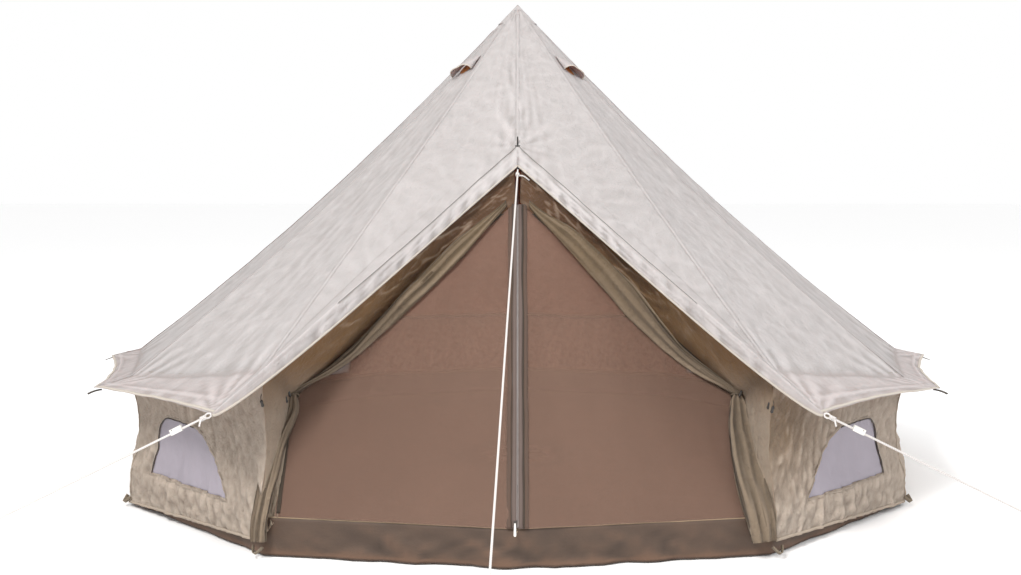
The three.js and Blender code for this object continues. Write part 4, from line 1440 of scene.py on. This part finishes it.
def add_door_net(side):
    """One net from the zip to the canvas, with a column of points along the leaf's fold line."""
    name, seed = SIDE_NAMES[side], (1 if side > 0 else 2)
    points, uvs = [], []
    leaf_columns, fixed_columns, rows = 30, 20, 72
    for j in range(rows + 1):
        level = lerp(0.002, ZIP_LENGTH - 0.030, j / rows)
        rest = 1 - level / ZIP_LENGTH
        hinge = CORNER_X * (ZIP_LENGTH - level) / (ZIP_LENGTH - CORNER_Y * level / ZIP_LENGTH)
        hinge = max(ZIP_EDGE + 0.004, hinge)
        reach = KNEE_X
        for _ in range(4):
            reach = door_reach(level + sill_line(reach) * rest)
        reach = max(hinge + 0.002, reach + 0.010)
        xs = [lerp(ZIP_EDGE - 0.006, hinge, t) for t in steps(leaf_columns)]
        xs += [lerp(hinge, reach, t) for t in steps(fixed_columns)[1:]]
        for x in xs:
            y = level + sill_line(x) * rest
            share = min(1.0, x / reach)
            slack = -0.008 * math.sin(math.pi * share) * math.sin(math.pi * j / rows)
            slack += 0.0045 * folds(x * 5.5, y * 1.6, seed, 31) * math.sin(math.pi * share) ** 0.5
            slack += 0.0024 * folds(x * 21, y * 5, seed, 32) * smooth(share * 6)
            by_sill = math.exp(-((level / 0.10) ** 2)) * smooth(level * 30)
            slack += 0.003 * by_sill * math.sin(x * 60 + 2.4 * folds(x * 3, y * 3, seed, 33))
            points.append(sided(on_door(x, y, 0.001 + slack), side))
            uvs.append((x, y))
    faces = grid_faces(leaf_columns + fixed_columns, rows)
    if side < 0:
        faces = turned_over(faces)
    net = build(f"{name}_door_net", points, faces, DOOR_NET, "door_mesh", body=None, uvs=uvs,
                replaces=[f"mesh_leaf_{name}"])
    middle = on_door(fold_line(0.5), 0.5)
    along = (DOOR_TOP - DOOR_CORNER).normalized()
    inward = facing(along.cross(DOOR_OUT).normalized(), -RIGHTWARD)
    start, end = middle - inward * 0.012, middle + inward * 0.004
    tuple(sided(start, side))
    tuple(sided(end, side))
    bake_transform(net)
    cloth_area(points, faces)


def add_zip_facing(side):
    """The tape beside the zip, the piping and folded facing over it, and the teeth along its inner edge."""
    name = SIDE_NAMES[side]
    body = f"door_leaf_{name}"
    tape, piping, facing_strip, teeth = Bundle(), Bundle(), Bundle(), Bundle()
    ys = [lerp(0.004, ZIP_LENGTH - 0.022, t) for t in steps(110)]

    def run(x, z, wobble=0.0):
        line = []
        for y in ys:
            aside, ahead = folds(y * 4, 0, x * 9, 34), folds(y * 9, side, x, 35)
            line.append(sided(on_door(x + wobble * aside, y, z + wobble * ahead), side))
        return line

    across = facing(sided(DOOR_SIDE, side), RIGHTWARD)
    tape.strip(run(0.013, 0.002), across, 0.022, 0.0, 0.0012)
    piped_at, piping_radius = (0.0225, 0.0026) if side > 0 else (0.0235, 0.0014)
    piping.tube(run(piped_at, 0.0055, 0.004), piping_radius, sides=7)
    piping.build(f"{name}_zip_piping", DARK_TRIM, "door_canvas", body=body)
    tape.build(f"{name}_zip_tape", ZIP_TAPE, "zip_tape", body=body, replaces=[f"zip_tape_{name}"])
    facing_strip.strip(run(0.0305, 0.0028, 0.003), across, 0.021, 0.0, 0.0016)
    facing_strip.build(f"{name}_zip_facing", FACING, "door_canvas", body=body)
    pitch = 0.0042
    half = (0.0019, 0.0011, 0.0010)
    box_faces = [(0, 1, 3, 2), (4, 6, 7, 5), (0, 4, 5, 1), (2, 3, 7, 6), (0, 2, 6, 4), (1, 5, 7, 3)]
    for k in range(int((ZIP_LENGTH - 0.035) / pitch)):
        centre = on_door(0.0018, 0.008 + (k + (0.5 if side > 0 else 0)) * pitch, 0.0042)
        corners = [centre + DOOR_SIDE * half[0] * a + ZIP_UP * half[1] * b + DOOR_OUT * half[2] * c
                   for a in (-1, 1) for b in (-1, 1) for c in (-1, 1)]
        teeth.add([sided(p, side) for p in corners], box_faces)
    teeth.build(f"{name}_zip_teeth", DOOR_TEETH, "zip_tape", body=body, soft=False)


def wall_edge(z, side):
    return wall_point(1, 0, z) if side > 0 else mirror(wall_point(SIDES - 2, PANEL, z))


def surround_edges(t, side):
    """Inner and outer edges of the canvas beside the door: t is 0 at the ground and 1 at the peak."""
    overlap, lift = 0.004, 0.004
    if t < SURROUND_KNEE:
        share = t / SURROUND_KNEE
        inner = on_door(KNEE_X - overlap, lerp(sill_line(KNEE_X), KNEE_Y, share), lift)
        return inner, wall_edge(lerp(0.062, SURROUND_Z, share), side)
    share = (t - SURROUND_KNEE) / (1 - SURROUND_KNEE)
    y = lerp(KNEE_Y, ZIP_LENGTH, share)
    inner = on_door(max(0.010, door_reach(y) - overlap), y, lift)
    return inner, wall_edge(SURROUND_Z, side).lerp(SURROUND_TOP, share)


def add_surround(side):
    """The canvas between the net and the wall, and above it the side of the doorway under the lip."""
    name = SIDE_NAMES[side]
    points, uvs = [], []
    columns, rows = 30, 110
    for t in steps(rows):
        inner, outer = surround_edges(t, side)
        for s in steps(columns):
            point = inner.lerp(outer, s)
            out = Vector((point.x * 0.35, -1, 0.25)).normalized()
            free = math.sin(math.pi * s)
            slack = -0.010 * free + 0.010 * free * folds(s * 2.2, t * 5, side, 41)
            slack += 0.0055 * folds(s * 7, t * 15, side, 42) * smooth(s * 5)
            slack += 0.004 * folds(s * 15, t * 36, side, 43) * free
            slack += (0.010 * crease(s * 2.5, t * 9, side, 64) + 0.006 * crease(s * 5, t * 22, side, 65)) * free
            slack += 0.004 * folds(s * 26, t * 60, side, 66) * free
            points.append(sided(point + out * slack, side))
            uvs.append((s * (outer - inner).length, t * 1.9))
    faces = grid_faces(columns, rows)
    if side < 0:
        faces = turned_over(faces)
    cloth = build(f"{name}_door_surround", points, faces, SHADED, "door_canvas", uvs=uvs, thickness=CANVAS,
                  replaces=[f"door_side_panel_{name}"], folded=0.9, passes=7)
    seam = Bundle()
    line = [sided(surround_edges(k / 100, side)[0] + DOOR_OUT * 0.001, side) for k in range(1, 96)]
    seam.strip(line, Vector((1, -0.1 * side, 0)), 0.014, 0.0, 0.0022)
    edge = seam.build(f"{name}_net_binding", DARK_TRIM, "door_canvas")
    cloth_area(points, faces)


# ------------------------------------------------------------------ door flaps

FLAP_LAYERS = {1: 6, -1: 8}
FLAP_WIDTH = {1: 0.158, -1: 0.092}
FLAP_ABOVE = 72            # rows from the peak to the tie
FOLD_ASIDE = facing((-HINGE_DOWN).cross(DOOR_OUT).normalized(), RIGHTWARD)   # away from the leaf's hinge
FLAP_FALL = {
    1: [(0.902, -1.560, 0.430), (0.912, -1.660, 0.300), (0.936, -1.745, 0.170), (0.948, -1.772, 0.070)],
    -1: [(0.952, -1.560, 0.430), (0.980, -1.670, 0.290), (0.994, -1.750, 0.160), (0.996, -1.772, 0.070)],
}
FLAP_SWELL = {             # shares of the way from the tie to the ground, and the width there
    1: [(0, 0.040), (0.22, 0.078), (0.5, 0.112), (0.78, 0.108), (1, 0.088)],
    -1: [(0, 0.038), (0.3, 0.056), (0.6, 0.066), (1, 0.052)],
}
TOGGLE_SPOTS = {1: ((0.300, 0.80), (0.285, 0.97)), -1: ((0.345, 0.14), (0.300, 0.95))}


def flap_frames(side):
    """Centre, directions, width and depth of the gathered flap, from the peak by its tie to the ground."""
    frames = []
    for s in steps(FLAP_ABOVE)[:-1]:
        t = lerp(0.965, 0.362, s)
        inner, outer = surround_edges(t, side)
        ahead = (surround_edges(t - 0.004, side)[0] - inner).normalized()
        turn = smooth((s - 0.74) / 0.26)
        across = (outer - inner).normalized().lerp(RIGHTWARD, turn).normalized()
        out = facing(ahead.cross(across).normalized(), AHEAD)
        down = facing(ahead.cross(DOOR_OUT).normalized(), -RIGHTWARD)
        width = lerp(0.060, FLAP_WIDTH[side], smooth(s * 3.4)) * (1 - 0.74 * smooth((s - 0.45) / 0.55))
        depth = lerp(0.010, 0.026, s)
        belly = 0.030 * math.sin(math.pi * s) ** 0.8
        shift = Vector((-0.030 * smooth(s * 1.5), 0, 0)) if side > 0 else Vector()
        centre = inner + shift + down * belly + across * width * 0.42 + out * (0.010 + depth * 0.5)
        clear = (centre - DOOR_TOP).dot(FOLD_ASIDE) - 0.008
        width = min(width, max(0.016, clear * 1.6))
        centre += FOLD_ASIDE * max(0.0, width * 0.55 - clear)
        frames.append((centre, across, out, width, depth))
    start = frames[-1][0]
    line = curve_points([start, start + Vector((0.0, -0.045, -0.070)), *FLAP_FALL[side]], 12)
    below = len(line) - 1
    shares, widths = zip(*FLAP_SWELL[side])
    for k in range(1, below + 1):
        share = k / below
        ahead = (line[min(k + 1, below)] - line[k - 1]).normalized()
        across = facing(DOOR_OUT.cross(ahead).normalized(), RIGHTWARD)
        out = facing(ahead.cross(across), AHEAD)
        width = float(np.interp(share, shares, widths))
        frames.append((line[k], across, out, width, lerp(0.026, 0.034, share)))
    return frames


def add_flap(side):
    """A canvas door half gathered to the side in pleats, tied at the knee and hanging to the ground."""
    name = SIDE_NAMES[side]
    frames = flap_frames(side)
    line = [frame[0] for frame in frames]
    count = len(line)
    tie = FLAP_ABOVE / (count - 1)
    layers = FLAP_LAYERS[side]
    columns = layers * 12
    points, uvs = [], []
    flat_width = 0.0
    travelled = 0.0
    for j, (centre, across, out, width, depth) in enumerate(frames):
        t = j / (count - 1)
        if j:
            travelled += (line[j] - line[j - 1]).length
        pinch = math.exp(-(((t - tie) / 0.018) ** 2))
        width *= 1 - 0.25 * pinch
        previous = None
        row_length = 0.0
        for i in range(columns + 1):
            c = i / columns * layers
            layer = int(min(c, layers - 1e-6))
            step = c - layer
            sweep = step if layer % 2 == 0 else 1 - step
            turned = 0.5 - 0.5 * math.cos(math.pi * sweep)
            x = (lerp(sweep, turned, 0.7) - 0.5) * width * (1 - 0.05 * layer / layers)
            lobes = math.sin(x / width * 15 + 2.2 * folds(t * 5, side, layer * 0.3, 51) + layer * 0.25)
            lobes += 0.6 * math.sin(x / width * 27 + 4 * folds(t * 4, side + 3, layer * 0.2, 52))
            y = depth * (0.5 - c / layers) + depth * 0.26 * lobes * (0.35 + 0.65 * smooth(abs(t - tie) * 7))
            y += 0.003 * folds(x * 40, t * 22, side, 53)
            x += 0.006 * folds(t * 11, side, layer, 54) * (1 - pinch)
            point = centre + across * x + out * y
            point.z = max(point.z, 0.006)
            if previous is not None:
                row_length += (point - previous).length
            previous = point
            points.append(sided(point, side))
            uvs.append((row_length, travelled))
        flat_width = max(flat_width, row_length)
    faces = grid_faces(columns, count - 1)
    if side > 0:
        faces = turned_over(faces)
    flap = build(f"{name}_flap_canvas", points, faces, FLAP, "door_canvas", uvs=uvs, thickness=0.0010,
                 replaces=[f"canvas_flap_{name}"], folded=0.9)
    ties, toggles = Bundle(), Bundle()
    knee = line[FLAP_ABOVE]
    ahead = (line[FLAP_ABOVE + 1] - line[FLAP_ABOVE - 1]).normalized()
    across = DOOR_OUT.cross(ahead).normalized()
    out = ahead.cross(across)
    ring = [knee + across * 0.0235 * math.cos(a) + out * 0.0215 * math.sin(a) for a in turns(32)]
    ties.tube([sided(p, side) for p in ring], 0.0035, sides=8, closed=True)
    spots = [knee + Vector((0.010, -0.030, 0.012))]
    for t, share in TOGGLE_SPOTS[side]:
        inner, outer = surround_edges(t, side)
        spots.append(inner.lerp(outer, share) + Vector((0.004, -0.020, 0.006)))
    for k, spot in enumerate(spots):
        toggles.add(*capsule(sided(spot, side), (0.25 * side, -0.1, 0.95 if k else 0.6), 0.030, 0.0062))
        if k:
            hang = spot + Vector((0.004, 0.016, 0.040))
            loop = (hang, spot.lerp(hang, 0.5) + Vector((0.004, -0.004, 0)), spot)
            ties.tube(curve_points([sided(p, side) for p in loop], 8), 0.0022, sides=6)
    tied = ties.build(f"{name}_flap_tie", TIE_CORD, "door_canvas")
    buttons = toggles.build(f"{name}_toggles", TOGGLE_PLASTIC, "black_rubber")
    flat = (flat_width * 1.02, travelled)
    area = min(cloth_area(points, faces), flat[0] * flat[1])


# ------------------------------------------------------------------ small parts on the outside


def add_peak_patch():
    """The patch down the middle of the lip, and the eyelet that the door pole's spike comes through."""
    patch = Bundle()
    front = front_surface(1)
    line = [front(0, v) for v in (0.035, 0.028, 0.02, 0.012, 0.006, 0.0)]
    line += [front(0, -k / 8) for k in range(1, 9)]
    patch.strip(line, RIGHTWARD, 0.036, 0.0020, 0.0018)
    patch.build("peak_patch", TRIM, "roof_canvas")
    eyelet = Bundle()
    centre, radius = PEAK + UP * 0.003, 0.0105
    ring = [centre + Vector((radius * math.cos(a), radius * math.sin(a), 0)) for a in turns(24)]
    eyelet.tube(ring, 0.0034, sides=8, closed=True)
    eyelet.build("peak_eyelet", SLIDER_STEEL, "pole_steel")


def add_strap_tips():
    """Webbing tips that stand out from the eave's corners."""
    tips = Bundle()
    for corner in range(2, SIDES - 1):
        start = eave_corner(corner)
        out = compass(corner_angle(corner), 1, 0)
        side = compass(corner_angle(corner) + 90, 1, 0)
        line = [start + out * (-0.03 + 0.010 * k) + UP * (-0.006 - 0.0004 * k * k) for k in range(7)]
        tips.strip(line, side, 0.022, 0.0, 0.0034)
    tips.build("eave_straps", DARK_TRIM, "roof_canvas")


# ------------------------------------------------------------------ putting it together

roof, roof_area = add_roof()
trims = roof_seams()
add_cap()
for number, angle in enumerate(VENT_ANGLES, 1):
    add_vent(number, angle)
walls, wall_area = add_walls()
for number, panel in enumerate(WINDOW_PANELS, 1):
    add_window(number, panel)
wall_trims()
add_groundsheet()
for side in (1, -1):
    add_door_net(side)
    add_zip_facing(side)
    add_surround(side)
    add_flap(side)
add_peak_patch()
add_strap_tips()

FINISHES = {
    STEEL: ["centre_pole_lower", "centre_pole_upper", "centre_pole_spike", "door_pole_lower",
            "door_pole_upper"],
    RUBBER: ["centre_pole_foot", "door_pole_foot"],
    SLIDER_STEEL: ["door_pole_spike", "zip_slider"],
    PEG_STEEL: [f"guy_peg_{guy}" for guy in GUYS],
    WHITE_PLASTIC: ["zip_pull"] + [f"guy_runner_{guy}" for guy in GUYS],
}
for material, nodes in FINISHES.items():
    for node in nodes:
        mesh = bpy.data.objects[node].data
        mesh.materials.clear()
        mesh.materials.append(material)
